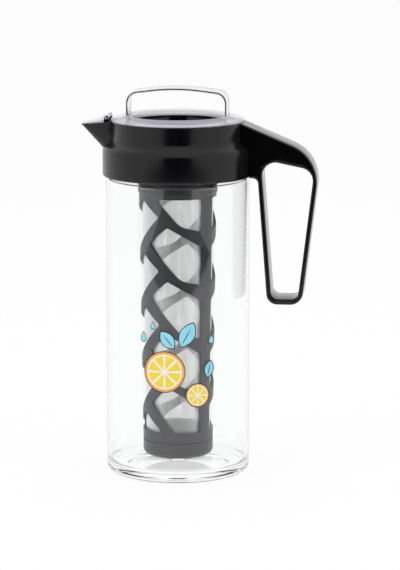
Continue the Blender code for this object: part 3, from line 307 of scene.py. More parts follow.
    @classmethod
    def smooth(cls, piece: bpy.types.Object, angle: float = 30.0) -> None:
        """Shade a piece smooth, with edges over an angle kept sharp."""
        cls.pick(piece)
        bpy.ops.object.shade_smooth_by_angle(angle=math.radians(angle))

    @classmethod
    def copy_of(cls, node: str, name: str) -> bpy.types.Object:
        """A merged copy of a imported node, with its own mesh."""
        cls.clear()
        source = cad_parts[node]
        piece = bpy.data.objects.new(name, source.data.copy())
        bpy.context.scene.collection.objects.link(piece)
        piece.data.materials.clear()
        cls.pick(piece)
        bpy.ops.object.mode_set(mode="EDIT")
        bpy.ops.mesh.select_all(action="SELECT")
        bpy.ops.mesh.remove_doubles(threshold=WELD)
        bpy.ops.object.mode_set(mode="OBJECT")
        return piece


def place(piece: bpy.types.Object, body: Body, finish: "Finish", *nodes: str) -> None:
    """Dress a piece, let it ride on its body and report it.

    Args:
        piece: the finished piece.
        body: the body it rides on.
        finish: its finish.
        nodes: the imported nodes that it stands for.
    """
    if not piece.data.materials:
        piece.data.materials.append(finish.material())
    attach(piece, body.value)
    if nodes:
        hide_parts(*nodes)
    LOG.info("%s: %d faces, rides on %s", piece.name, len(piece.data.polygons), body.value)


Input = Union[float, Colour, bpy.types.NodeSocket, tuple]


class Sheet:
    """Adds nodes to one tree and links them."""

    def __init__(self, tree: bpy.types.NodeTree) -> None:
        """Start on a node tree."""
        self.tree = tree

    def add(self, kind: str, inputs: Optional[dict] = None, **settings: object) -> bpy.types.Node:
        """Add a node.

        Args:
            kind: the node's type name.
            inputs: values or output sockets by input name or number.
            settings: properties of the node.

        Returns:
            The node.
        """
        node = self.tree.nodes.new(kind)
        for key, value in settings.items():
            setattr(node, key, value)
        for key, value in (inputs or {}).items():
            if isinstance(value, bpy.types.NodeSocket):
                self.tree.links.new(value, node.inputs[key])
            else:
                node.inputs[key].default_value = value
        return node

    def math(self, operation: str, first: Input, second: Input = 0.0) -> bpy.types.NodeSocket:
        """The output of one maths node."""
        return self.add("ShaderNodeMath", {0: first, 1: second}, operation=operation).outputs[0]


def plain_material(name: str, colour: Colour, values: dict[str, float]) -> tuple:
    """A new material with one colour.

    Args:
        name: the material's name.
        colour: its base colour.
        values: the shader's other constants by input name.

    Returns:
        The material, its sheet and its shader.
    """
    material = bpy.data.materials.new(name)
    material.use_nodes = True
    shader = material.node_tree.nodes["Principled BSDF"]
    shader.inputs["Base Color"].default_value = (*colour, 1.0)
    for label, value in values.items():
        shader.inputs[label].default_value = value
    return material, Sheet(material.node_tree), shader


class Effects:
    """The surface effects that several finishes share, each built once as a node group."""

    groups: dict[str, bpy.types.NodeTree] = {}

    @classmethod
    def group(cls, name: str) -> bpy.types.NodeTree:
        """The node group of an effect, built at its first use."""
        if name not in cls.groups:
            cls.groups[name] = getattr(cls, name)()
        return cls.groups[name]

    @staticmethod
    def shell(name: str, inputs: Sequence[str], outputs: Sequence[str]) -> tuple:
        """An empty group with a vector and numbers as sockets, and the nodes to start from."""
        tree = bpy.data.node_groups.new(name, "ShaderNodeTree")
        tree.interface.new_socket("Vector", in_out="INPUT", socket_type="NodeSocketVector")
        for way, labels in (("INPUT", inputs), ("OUTPUT", outputs)):
            for label in labels:
                tree.interface.new_socket(label, in_out=way, socket_type="NodeSocketFloat")
        sheet = Sheet(tree)
        return tree, sheet, sheet.add("NodeGroupInput"), sheet.add("NodeGroupOutput")

    @classmethod
    def moulded(cls) -> bpy.types.NodeTree:
        """Uneven gloss and a fine ripple, as moulded plastic and glass have."""
        tree, sheet, start, end = cls.shell(
            "moulded", ("Roughness", "Spread", "Patch Scale", "Grain Scale"),
            ("Roughness", "Height", "Patches"))
        patches, grain = (sheet.add("ShaderNodeTexNoise", {
            "Vector": start.outputs["Vector"], "Scale": start.outputs[label],
            "Detail": detail}) for label, detail in (("Patch Scale", 4.0), ("Grain Scale", 2.0)))
        offset = sheet.math("SUBTRACT", patches.outputs[0], 0.5)
        change = sheet.math("MULTIPLY", offset, start.outputs["Spread"])
        rough = sheet.math("ADD", start.outputs["Roughness"], change)
        held = sheet.add("ShaderNodeClamp", {"Value": rough, "Min": 0.0, "Max": 1.0})
        tree.links.new(held.outputs[0], end.inputs["Roughness"])
        tree.links.new(grain.outputs[0], end.inputs["Height"])
        tree.links.new(patches.outputs[0], end.inputs["Patches"])
        return tree

    @classmethod
    def weave(cls) -> bpy.types.NodeTree:
        """Crossed threads wrapped round the jug's axis: where they are, and their height."""
        tree, sheet, start, end = cls.shell("weave", ("Radius", "Pitch", "Thread"),
                                            ("Threads", "Height"))
        parts = sheet.add("ShaderNodeSeparateXYZ", {0: start.outputs["Vector"]})
        across = sheet.math("SUBTRACT", parts.outputs[0], AXIS)
        angle = sheet.math("ARCTAN2", parts.outputs[1], across)
        round_way = sheet.math("MULTIPLY", angle, start.outputs["Radius"])
        waves = []
        for way in (round_way, parts.outputs[2]):
            turns = sheet.math("DIVIDE", way, start.outputs["Pitch"])
            wave = sheet.math("SINE", sheet.math("MULTIPLY", turns, math.pi))
            waves.append(sheet.math("ABSOLUTE", wave))
        gaps = [sheet.math("GREATER_THAN", wave, start.outputs["Thread"]) for wave in waves]
        hole = sheet.math("MULTIPLY", gaps[0], gaps[1])
        threads = sheet.math("SUBTRACT", 1.0, hole)
        height = sheet.math("SUBTRACT", 1.0, sheet.math("MINIMUM", waves[0], waves[1]))
        tree.links.new(threads, end.inputs["Threads"])
        tree.links.new(height, end.inputs["Height"])
        return tree

    @classmethod
    def drawn(cls) -> bpy.types.NodeTree:
        """Fine scratches along X, as rolled and polished strip has."""
        tree, sheet, start, end = cls.shell("drawn", ("Roughness", "Spread"),
                                            ("Roughness", "Height"))
        stretched = sheet.add("ShaderNodeMapping", {0: start.outputs["Vector"],
                                                    "Scale": (40.0, 3000.0, 400.0)})
        lines = sheet.add("ShaderNodeTexNoise", {"Vector": stretched.outputs[0], "Scale": 1.0,
                                                 "Detail": 3.0})
        change = sheet.math("MULTIPLY", lines.outputs[0], start.outputs["Spread"])
        rough = sheet.math("ADD", start.outputs["Roughness"], change)
        tree.links.new(rough, end.inputs["Roughness"])
        tree.links.new(lines.outputs[0], end.inputs["Height"])
        return tree


@dataclass(frozen=True)
class Finish:
    """One finish: a Principled surface with uneven gloss and a fine ripple."""

    name: str
    slot: str
    colour: Colour
    roughness: float
    spread: float = 0.1
    patch_scale: float = 60.0
    grain_scale: float = 2500.0
    ripple: float = 0.05
    ripple_depth: float = 0.02
    metallic: float = 0.0
    transmission: float = 0.0
    ior: float = 1.5
    specular: float = 0.5
    tint: float = 0.06

    def material(self) -> bpy.types.Material:
        """The finish's material, built at its first use."""
        found = bpy.data.materials.get(self.name)
        return found if found is not None else self.build()

    def build(self) -> bpy.types.Material:
        """Build the material: the shader, and its surface from the moulded effect."""
        material, sheet, shader, group = self.start("moulded", {
            "Roughness": self.roughness, "Spread": self.spread,
            "Patch Scale": self.patch_scale, "Grain Scale": self.grain_scale})
        sheet.tree.links.new(group.outputs["Roughness"], shader.inputs["Roughness"])
        dark = tuple(value * (1.0 - self.tint) for value in self.colour)
        light = tuple(min(1.0, value * (1.0 + self.tint)) for value in self.colour)
        mix = sheet.add("ShaderNodeMix", {0: group.outputs["Patches"], 6: (*dark, 1.0),
                                          7: (*light, 1.0)}, data_type="RGBA")
        sheet.tree.links.new(mix.outputs[2], shader.inputs["Base Color"])
        return material

    def start(self, effect: str, values: dict[str, float]) -> tuple:
        """A new material with its constants, one effect in it and the effect's bump.

        Args:
            effect: the name of the effect.
            values: the effect's numbers by input name.

        Returns:
            The material, its sheet, its shader and the effect's node.
        """
        material, sheet, shader = plain_material(self.name, self.colour, {
            "Metallic": self.metallic, "Transmission Weight": self.transmission,
            "IOR": self.ior, "Specular IOR Level": self.specular})
        place_in = sheet.add("ShaderNodeTexCoord").outputs["Object"]
        group = sheet.add("ShaderNodeGroup", node_tree=Effects.group(effect))
        for label, value in values.items():
            group.inputs[label].default_value = value
        sheet.tree.links.new(place_in, group.inputs["Vector"])
        bump = sheet.add("ShaderNodeBump", {
            "Height": group.outputs["Height"], "Strength": self.ripple,
            "Distance": self.ripple_depth * MM})
        sheet.tree.links.new(bump.outputs[0], shader.inputs["Normal"])
        return material, sheet, shader, group


@dataclass(frozen=True)
class SteelFinish(Finish):
    """Polished steel strip with fine drawn lines."""

    def build(self) -> bpy.types.Material:
        """Build the material with the drawn effect."""
        material, sheet, shader, group = self.start(
            "drawn", {"Roughness": self.roughness, "Spread": self.spread})
        sheet.tree.links.new(group.outputs["Roughness"], shader.inputs["Roughness"])
        return material


@dataclass(frozen=True)
class MeshFinish(Finish):
    """Fine woven steel: threads that are there, and holes that are clear."""

    radius: float = 24.0
    pitch: float = 0.6
    thread: float = 0.4
    closing: float = 1.4

    def build(self) -> bpy.types.Material:
        """Build the material with the weave effect on its alpha and its bump."""
        material, sheet, shader, group = self.start("weave", {
            "Radius": self.radius * MM, "Pitch": self.pitch * MM, "Thread": self.thread})
        shader.inputs["Roughness"].default_value = self.roughness
        facing = sheet.add("ShaderNodeNewGeometry").outputs["Backfacing"]
        front = sheet.math("SUBTRACT", 1.0, facing)
        slant = sheet.add("ShaderNodeLayerWeight", {"Blend": 0.5}).outputs["Facing"]
        closed = sheet.math("MINIMUM", sheet.math("MULTIPLY", slant, self.closing), 1.0)
        cover = sheet.math("MAXIMUM", group.outputs["Threads"], closed)
        sheet.tree.links.new(sheet.math("MULTIPLY", cover, front), shader.inputs["Alpha"])
        return material


CLEAR_GLASS = Finish("clear_glass", "glass", (0.985, 0.992, 0.99), 0.0, spread=0.012,
                     patch_scale=25.0, grain_scale=35.0, ripple=0.03, ripple_depth=0.05,
                     transmission=1.0, ior=1.45, tint=0.004)
CLEAR_PLASTIC = Finish("clear_plastic", "clear_plastic", (0.80, 0.80, 0.93), 0.0, spread=0.01,
                       patch_scale=80.0, grain_scale=60.0, ripple=0.03, ripple_depth=0.04,
                       transmission=1.0, ior=1.49, tint=0.02)
BLACK_SATIN = Finish("black_satin_plastic", "black_plastic", (0.0018, 0.0018, 0.0028), 0.22,
                     spread=0.08, specular=0.36)
BLACK_GLOSS = Finish("black_gloss_plastic", "black_plastic", (0.002, 0.002, 0.0023), 0.12,
                     spread=0.08, ripple=0.03, specular=0.38)
SLATE = Finish("slate_plastic", "slate_plastic", (0.007, 0.007, 0.016), 0.05, spread=0.05,
               ripple=0.04, grain_scale=1800.0, ior=1.8, specular=0.95)
STEEL = SteelFinish("polished_steel", "steel", (0.78, 0.78, 0.79), 0.1, ripple=0.04,
                    ripple_depth=0.01, metallic=1.0)
STEEL_MESH = MeshFinish("woven_steel", "steel_mesh", (0.95, 0.95, 0.96), 0.5, ripple=0.3,
                        ripple_depth=0.08, metallic=1.0, thread=0.3)
SILICONE = Finish("silicone", "silicone", (0.8, 0.8, 0.8), 0.5)
INK_BLACK, INK_YELLOW, INK_ORANGE, INK_BLUE, INK_WHITE = (
    Finish(f"ink_{name}", "glass", colour, 0.4) for name, colour in (
        ("black", (0.012, 0.012, 0.012)), ("yellow", (0.86, 0.66, 0.045)),
        ("orange", (0.86, 0.40, 0.07)), ("blue", (0.28, 0.67, 0.83)),
        ("white", (0.85, 0.85, 0.85))))


@dataclass
class GlassJug:
    """The jug: a footed base, a straight wall, a rounded shoulder and a beaded neck."""

    steps: int = 144
    radius: float = 50.0
    wall: float = 2.5
    floor: float = 5.5
    rim: float = 230.8
    neck: float = 44.0
    shoulder_low: float = 206.0
    shoulder_high: float = 210.5
    bead: float = 1.1
    bead_height: float = 4.6

    def profile(self) -> list[Point]:
        """The whole section from the middle of the underside round to the middle of the floor."""
        inner = self.radius - self.wall
        mouth = self.neck - self.wall
        bead_z = self.rim - self.bead_height
        corners = [
            (0, 1.2, 0), (4.6, 1.2, 0.4), (5.4, 1.8, 0.4), (6.2, 1.2, 0.4),
            (33.0, 1.2, 1.2), (36.0, 0, 1.2), (self.radius, 0, 4.0),
            (self.radius, self.shoulder_low, 5.0), (self.neck, self.shoulder_high, 2.5),
            (self.neck, bead_z, 0.4), (self.neck + self.bead, bead_z + 0.8, 0.3),
            (self.neck + self.bead, self.rim, 1.0), (mouth, self.rim, 1.0),
            (mouth, self.shoulder_high - self.wall / 2, 2.5),
            (inner, self.shoulder_low - self.wall / 2, 2.5),
            (inner, self.floor, 5.5), (0, self.floor, 0),
        ]
        return rounded(corners, closed=False)

    def build(self) -> None:
        """Turn the jug and place it."""
        jug = Bench.turned("jug_glass", self.profile(), self.steps)
        Bench.smooth(jug, 50.0)
        place(jug, Body.JUG, CLEAR_GLASS, "glass_jug")


@dataclass
class PouringCollar:
    """The black collar over the neck, with its spout, hinge lugs and pouring channel."""

    steps: int = 144
    low: float = 52.2
    top: float = 46.4
    foot: float = 208.4
    rim: float = 246.4
    shoulder_low: float = 228.0
    shoulder_high: float = 233.0
    shoulder_fillet: float = 6.5
    bore: float = 43.4
    ledge: float = 233.1
    spout_reach: float = 67.2
    spout_tip: float = 243.4
    spout_half: float = 13.0
    keel_reach: float = 52.0
    keel_z: float = 227.2
    lip_half: float = 1.3
    spout_wall: float = 2.0
    spout_root: float = 41.0
    channel_reach: float = 64.2
    trough_squareness: float = 2.6
    pivot_reach: float = 48.4
    pivot_z: float = 249.0

    def outside(self, gap: float = 0.0, longer: float = 0.0) -> list[Point]:
        """The outside from foot to rim and the axis, grown by a gap and lengthened."""
        foot = self.foot - gap - longer
        rim = self.rim + gap + longer
        corners = [
            (0, foot, 0), (self.low + gap, foot, 1.6),
            (self.low + gap, self.shoulder_low, self.shoulder_fillet),
            (self.top + gap, self.shoulder_high, self.shoulder_fillet),
            (self.top + gap, rim, 0.7), (0, rim, 0),
        ]
        return rounded(corners, closed=False)

    def inside(self) -> list[Point]:
        """What is turned out of the collar: bore, ledge, neck seat, snap ring and skirt."""
        seat = self.ledge - 7.2
        corners = [
            (0, self.foot - OVERRUN, 0), (50.6, self.foot - OVERRUN, 0),
            (50.2, self.foot + 0.4, 0),
            (50.2, seat - 3.0, 0), (44.3, seat - 3.0, 0), (44.3, seat, 0), (45.4, seat, 0),
            (45.4, self.ledge, 0), (41.8, self.ledge, 0), (41.8, self.ledge + 1.5, 0),
            (self.bore, self.ledge + 1.5, 0), (self.bore, self.rim + OVERRUN, 0),
            (0, self.rim + OVERRUN, 0),
        ]
        return rounded(corners, closed=False)

    def share(self, reach: float) -> float:
        """How far along the spout a reach lies: 0 at the wall, 1 at the lip."""
        root = math.sqrt(self.top ** 2 - self.spout_half ** 2)
        return min(1.0, max(0.0, (reach - root) / (self.spout_reach - root)))

    def half_width(self, reach: float) -> float:
        """Half the spout's width at a reach."""
        narrowing = (1.0 - self.share(reach) ** 1.35) ** 0.8
        return self.lip_half + (self.spout_half - self.lip_half) * narrowing

    def rim_z(self, reach: float) -> float:
        """The height of the spout's rim at a reach."""
        return self.rim + (self.spout_tip - self.rim) * self.share(reach)

    def slope(self) -> float:
        """The rise of the keel for its run."""
        return (self.spout_tip - self.keel_z) / (self.spout_reach - self.keel_reach)

    def floor_z(self, reach: float) -> float:
        """The floor of the pouring channel at a reach."""
        wall = self.spout_wall * math.sqrt(1.0 + self.slope() ** 2)
        keel = self.keel_z + self.slope() * (reach - self.keel_reach)
        return max(self.ledge + 2.1, keel + wall)

    def trough(self, reach: float, half: float, top: float, floor: float,
               above: Optional[float] = None) -> list[Vector]:
        """A rounded trough section across the spout.

        Args:
            reach: how far the section lies from the axis.
            half: half its width.
            top: the height of its edges.
            floor: the height of its floor.
            above: the height that its edges are carried up to, or None.

        Returns:
            The section's points, in metres.
        """
        ring = [(half * across, top - (top - floor) * down)
                for across, down in half_oval(32, self.trough_squareness)]
        if above is not None:
            ring += [(-half, above), (half, above)]
        return [Vector((AXIS - reach * MM, y * MM, z * MM)) for y, z in ring]

    def spout(self) -> bpy.types.Object:
        """The spout's outside, from inside the wall to the lip."""
        rings = []
        for step in range(29):
            share = (step / 28) ** 0.85
            reach = self.spout_root + (self.spout_reach - self.spout_root) * share
            keel = self.keel_z + self.slope() * (reach - self.keel_reach)
            floor = min(keel, self.rim_z(reach) - 0.6)
            rings.append(self.trough(reach, self.half_width(reach), self.rim_z(reach), floor))
        return Bench.skinned("tool_spout", rings)

    def channel(self) -> bpy.types.Object:
        """The open channel in the spout, through the collar's wall."""
        rings = []
        for step in range(25):
            reach = self.spout_root + (self.channel_reach - self.spout_root) * step / 24
            half = max(self.half_width(reach) - self.spout_wall, 1.0)
            rings.append(self.trough(reach, half, self.rim_z(reach), self.floor_z(reach),
                                     self.rim + OVERRUN))
        return Bench.skinned("tool_channel", rings)

    def lug(self, side: int) -> bpy.types.Object:
        """One hinge lug with a round head about the pin."""
        outline = [(1.3 * math.cos(math.pi * step / 16), 1.3 * math.sin(math.pi * step / 16))
                   for step in range(17)]
        outline += [(-1.3, -6.7), (1.3, -6.7)]
        rings = [[Vector((AXIS + (x - self.pivot_reach) * MM, side * y * MM,
                          (z + self.pivot_z) * MM)) for x, z in outline] for y in (8.9, 10.8)]
        return Bench.skinned("tool_lug", rings)

    def build(self) -> None:
        """Turn the collar, join the spout and lugs, cut the inside and channel, and place it."""
        collar = Bench.turned("collar_body", self.outside(), self.steps)
        for tool in (self.spout(), self.lug(-1), self.lug(1)):
            Bench.solid(collar, tool, SolidStep.JOIN)
        inside = Bench.turned("tool_inside", self.inside(), self.steps)
        hole = Bench.rod_y("tool_pin", -self.pivot_reach, self.pivot_z, 1.0, 14.0)
        for tool in (inside, self.channel(), hole):
            Bench.solid(collar, tool, SolidStep.CUT)
        Bench.smooth(collar, 28.0)
        place(collar, Body.JUG, BLACK_SATIN, "pouring_collar")


@dataclass
class SpoutFlap:
    """The clear visor over the spout, with its leaf and knuckle, and the steel pin."""

    collar: PouringCollar
    thickness: float = 1.4
    crown_root: float = 3.3
    crown_tip: float = 0.9
    knuckle: float = 1.6
    arch_squareness: float = 2.3

    def arch(self, reach: float) -> list[Vector]:
        """An arched section over the spout's rim, hollow inside."""
        share = self.collar.share(reach)
        edge = self.collar.rim_z(reach) + SEAT_GAP
        crown = self.crown_root + (self.crown_tip - self.crown_root) * share
        half = self.collar.half_width(reach)
        inner = max(half - self.thickness, half / 2)
        hollow = max(crown - self.thickness, 0.0)
        points = []
        for width, rise, way in ((half, crown, 1), (inner, hollow, -1)):
            side = [(width * across, edge + rise * up)
                    for across, up in half_oval(24, self.arch_squareness)]
            points += side[::way]
        return [Vector((AXIS - reach * MM, y * MM, z * MM)) for y, z in points]

    def build(self) -> None:
        """Skin the visor, join its leaf and knuckle, bore it, and place it with the pin."""
        pivot = self.collar.pivot_reach
        pivot_z = self.collar.pivot_z
        rear = pivot + self.knuckle + SEAT_GAP
        front = self.collar.spout_reach - self.crown_tip
        rings = [self.arch(rear + (front - rear) * (step / 20) ** 0.8) for step in range(21)]
        flap = Bench.skinned("flap_visor", rings)
        top = self.collar.rim + SEAT_GAP + self.crown_root - 0.35
        leaf = Bench.block("tool_leaf", (-pivot - 3.7, -6.6, top - 1.5), (-pivot, 6.6, top))
        Bench.solid(flap, leaf, SolidStep.JOIN)
        barrel = Bench.rod_y("tool_knuckle", -pivot, pivot_z, self.knuckle, 8.6)
        Bench.solid(flap, barrel, SolidStep.JOIN)
        bore = Bench.rod_y("tool_bore", -pivot, pivot_z, 1.0, 12.0)
        Bench.solid(flap, bore, SolidStep.CUT)
        Bench.smooth(flap)
        place(flap, Body.FLAP, CLEAR_PLASTIC, "spout_flap")
        pin = Bench.rod_y("hinge_pin", -pivot, pivot_z, 0.8, 10.8)
        Bench.softened(pin, 0.2, 3)
        Bench.smooth(pin)
        place(pin, Body.JUG, STEEL, "flap_pin")


@dataclass
class CarryHandle:
    """The looped strap handle, hollowed at its root to the collar."""

    collar: PouringCollar
    half_width: float = 13.25
    edge: float = 1.3

    def outlines(self) -> list[list[Point]]:
        """The side outline and the finger opening."""
        outside = [
            (43.4, 247.0, 0), (99.8, 223.1, 28.0), (87.4, 120.4, 9.0), (63.5, 120.4, 7.5),
            (56.6, 208.4, 4.0), (43.4, 208.4, 0),
        ]
        opening = [
            (95.525, 214.2, 9.3), (84.683, 124.4, 5.0), (66.386, 124.4, 5.0),
            (58.757, 221.7, 9.3),
        ]
        return [rounded(corners, closed=True, step_deg=3.0) for corners in (outside, opening)]

    def build(self) -> None:
        """Fill the flat outline as a curve, make it solid, hollow its root and place it."""
        curve = bpy.data.curves.new("handle_outline", "CURVE")
        curve.dimensions = "2D"
        curve.fill_mode = "BOTH"
        curve.extrude = (self.half_width - self.edge) * MM
        curve.bevel_depth = self.edge * MM
        curve.bevel_resolution = 3
        curve.offset = -self.edge * MM
        for outline in self.outlines():
            spline = curve.splines.new("POLY")
            spline.points.add(len(outline) - 1)
            for point, (x, z) in zip(spline.points, outline):
                point.co = (x * MM, z * MM, 0, 1)
            spline.use_cyclic_u = True
        handle = bpy.data.objects.new("handle_strap", curve)
        bpy.context.scene.collection.objects.link(handle)
        Bench.pick(handle)
        bpy.ops.object.convert(target="MESH")
        handle = bpy.context.object
        upright = Matrix.Translation((AXIS, 0, 0)) @ Matrix.Rotation(math.radians(90), 4, "X")
        handle.data.transform(upright)
        bpy.ops.object.mode_set(mode="EDIT")
        Bench.tidy()
        cutter = self.collar.outside(SEAT_GAP, 2 * OVERRUN)
        seat = Bench.turned("tool_seat", cutter, self.collar.steps)
        Bench.solid(handle, seat, SolidStep.CUT)
        Bench.smooth(handle, 25.0)
        place(handle, Body.JUG, BLACK_GLOSS, "carry_handle")


@dataclass
class Lid:
    """The lid: black dished plug, clear cover ring, steel bail and soft seal."""

    steps: int = 144
    dish: float = 32.2
    outer: float = 46.4
    foot: float = 246.7
    height: float = 4.0
    rim_width: float = 5.0
    step_down: float = 1.3
    fall: float = 0.6
    half_span: float = 34.3
    bail_half_width: float = 10.5
    bail_thickness: float = 1.4
    bail_shoulder: float = 265.9
    bail_fillet: float = 7.5
    bail_crown: float = 270.1
    bail_arc: float = 140.0

    def plug(self) -> None:
        """The plug as a merged copy of its node, shaded smooth."""
        plug = Bench.copy_of("lid_plug", "plug_dish")
        Bench.smooth(plug, 32.0)
        place(plug, Body.LID, BLACK_GLOSS, "lid_plug")

    def cover(self) -> None:
        """The clear ring, with slots for the legs of the bail."""
        top = self.foot + self.height
        shelf = top - self.step_down
        rim = self.dish + self.rim_width
        corners = [
            (self.outer, self.foot, 0.4), (self.outer, shelf - 2 * self.fall, 0.7),
            (rim + 0.4, shelf, 0.3), (rim, top, 0.4), (self.dish, top - self.fall, 0.6),
            (self.dish, self.foot, 0),
        ]
        profile = rounded(corners, closed=True)
        cover = Bench.turned("cover_ring", profile + profile[:1], self.steps)
        half = self.bail_half_width + SEAT_GAP
        for side in (-1, 1):
            low = side * self.half_span - 1.0
            slot = Bench.block("tool_slot", (low, -half, self.foot - OVERRUN),
                               (low + 2.0, half, top + OVERRUN))
            Bench.solid(cover, slot, SolidStep.CUT)
        Bench.smooth(cover, 35.0)
        place(cover, Body.LID, CLEAR_PLASTIC, "lid_cover")

    def bail_path(self) -> list[Vector]:
        """The middle line of the bail, toe to toe."""
        toe_z = self.foot - SEAT_GAP - self.bail_thickness / 2
        right = [
            (0, self.bail_crown, self.bail_arc),
            (self.half_span, self.bail_shoulder, self.bail_fillet),
            (self.half_span, toe_z, 1.6), (self.half_span + 4.0, toe_z, 0),
        ]
        left = [(-x, z, fillet) for x, z, fillet in reversed(right[1:])]
        return [Vector(point) for point in rounded(left + right, closed=False, step_deg=1.2)]

    def bail(self) -> None:
        """The flat strap, skinned along its path with rounded edges."""
        path = self.bail_path()
        half = self.bail_thickness / 2
        wide = self.bail_half_width
        section = rounded([(-wide, -half, 0.35), (wide, -half, 0.35), (wide, half, 0.35),
                           (-wide, half, 0.35)], closed=True, step_deg=30.0)
        rings = []
        for index, here in enumerate(path):
            before = here - path[index - 1] if index else path[1] - here
            after = path[index + 1] - here if index + 1 < len(path) else before
            along = (before.normalized() + after.normalized()).normalized()
            stretch = 1.0 / along.dot(before.normalized())
            out = Vector((-along.y, along.x)) * stretch
            rings.append([Vector((AXIS + (here.x + out.x * rise) * MM, y * MM,
                                  (here.y + out.y * rise) * MM)) for y, rise in section])
        bail = Bench.skinned("bail_strap", rings)
        Bench.smooth(bail, 35.0)
        place(bail, Body.LID, STEEL, "lid_bail")

    def build(self) -> None:
        """Build the plug, the cover and the bail."""
        self.plug()
        self.cover()
        self.bail()


@dataclass
class Infuser:
    """The lattice cage with its woven sleeve, and the screw cap under it."""

    steps: int = 120
    top: float = 27.0
    foot: float = 24.5
    wall: float = 2.0
    foot_z: float = 22.4
    ledge_z: float = 28.0
    taper_z: float = 196.6
    head_z: float = 222.0
    window_low: float = 29.8
    window_high: float = 194.5
    pitch: float = 37.6
    first_apex: float = 212.2
    rib_deg: float = 57.0
    rib_half: float = 4.9
    reference: float = 26.3

    def radius(self, height: float, inset: float = 0.0) -> float:
        """The tapered outside at a height, less an inset."""
        share = (height - self.foot_z) / (self.taper_z - self.foot_z)
        return self.foot + (self.top - self.foot) * share - inset

    def tube(self) -> bpy.types.Object:
        """The cage before its windows: tapered tube, beaded head and a ledge at the foot."""
        head = self.top
        head_in = head - 1.4
        bore = self.radius(self.ledge_z, self.wall) - 1.1
        corners = [
            (self.foot, self.foot_z, 0.4), (head, self.taper_z, 0.5), (head + 0.7, 197.5, 0.5),
            (head + 0.7, 202.5, 0.5), (head, 203.4, 0.5), (head, self.head_z, 0.4),
            (head_in, self.head_z, 0.4), (head_in, 203.4, 0), (head - self.wall, 202.5, 0),
            (head - self.wall, self.taper_z, 0),
            (self.radius(self.ledge_z, self.wall), self.ledge_z, 0), (bore, self.ledge_z, 0),
            (bore, self.foot_z, 0.4),
        ]
        profile = rounded(corners, closed=True, step_deg=30.0)
        return Bench.turned("cage_lattice", profile + profile[:1], self.steps)

    def window(self) -> list[Point]:
        """One lattice window laid flat: distance from the straight rib, height from the apex."""
        column = math.tau / 4 * self.reference - self.rib_half
        corners = []
        for across, down, fillet in ((0.0, 0.37, 2.2), (0.705, -0.015, 2.6), (1.127, 0.303, 2.0),
                                     (0.45, 0.975, 14.0), (0.0, 1.08, 1.8)):
            corners.append((self.rib_half + across * column, -down * self.pitch, fillet))
        return rounded(corners, closed=True, step_deg=12.0)

    def clipped(self, outline: Sequence[Point], limit: float, below: bool) -> list[Point]:
        """The part of an outline on one side of a level.

        Args:
            outline: the closed outline.
            limit: the level.
            below: whether the lower part is kept.

        Returns:
            What is kept, or an empty list.
        """
        sign = 1.0 if below else -1.0
        kept = []
        for index, here in enumerate(outline):
            before = outline[index - 1]
            inside = sign * (limit - here[1]) >= 0
            if inside != (sign * (limit - before[1]) >= 0):
                share = (limit - before[1]) / (here[1] - before[1])
                kept.append((before[0] + (here[0] - before[0]) * share, limit))
            if inside:
                kept.append(here)
        return kept

    def window_tool(self, column: int, apex: float) -> Optional[bpy.types.Object]:
        """The cutter of one window, wrapped on the cage, or None where no window is left."""
        outline = [(across, apex + height) for across, height in self.window()]
        outline = self.clipped(outline, self.window_high, True)
        outline = self.clipped(outline, self.window_low, False)
        heights = [height for across, height in outline] or [0.0]
        if max(heights) - min(heights) < 6.0:
            return None
        clips = (self.window_high, self.window_low)
        corners = [(x, z, 1.6 if z in clips else 0.0) for x, z in outline]
        outline = between(rounded(corners, closed=True, step_deg=15.0), 2.5)
        middle = (sum(x for x, z in outline) / len(outline), sum(heights) / len(heights))
        rib = math.radians(self.rib_deg + (column // 2) * 180.0)
        mirror = 1.0 if column % 2 else -1.0

        def wrapped(radius: float, point: Point) -> Vector:
            """A point of the flat window at a radius from the axis."""
            angle = rib + mirror * point[0] / self.reference
            return Vector((AXIS + radius * math.sin(angle) * MM,
                           -radius * math.cos(angle) * MM, point[1] * MM))

        inner = self.foot - self.wall - OVERRUN
        outer = self.top + OVERRUN
        rings = [[wrapped(radius, point) for point in outline] for radius in (inner, outer)]
        return Bench.skinned("tool_window", rings, wrapped(outer * 1.12, middle))

    def cage(self) -> None:
        """Cut the windows out of the tube, and give the head its bayonet lugs."""
        cage = self.tube()
        for column in range(4):
            lower = self.pitch / 2 * (column // 2)
            for row in range(5):
                tool = self.window_tool(column, self.first_apex - lower - row * self.pitch)
                if tool is not None:
                    Bench.solid(cage, tool, SolidStep.CUT)
        for side in (-1, 1):
            low, high = sorted((side * 23.9, side * 26.3))
            lug = Bench.block("tool_lug", (low, -1.8, 216.0), (high, 1.8, 218.6))
            Bench.solid(cage, lug, SolidStep.JOIN)
        Bench.smooth(cage, 30.0)
        place(cage, Body.INFUSER, SLATE, "infuser_cage")

    def sleeve(self) -> None:
        """The thin woven sleeve inside the cage."""
        low = self.ledge_z + SEAT_GAP
        inset = self.wall + SEAT_GAP
        corners = []
        for height, depth in ((low, 0.0), (self.taper_z, 0.0), (199.0, 0.0), (199.0, 0.3),
                              (self.taper_z, 0.3), (low, 0.3)):
            reach = min(self.radius(height), self.top) - inset - depth
            corners.append((reach, height, 0))
        profile = rounded(corners, closed=True)
        sleeve = Bench.turned("mesh_sleeve", profile + profile[:1], self.steps)
        Bench.smooth(sleeve, 35.0)
        place(sleeve, Body.INFUSER, STEEL_MESH, "infuser_mesh")

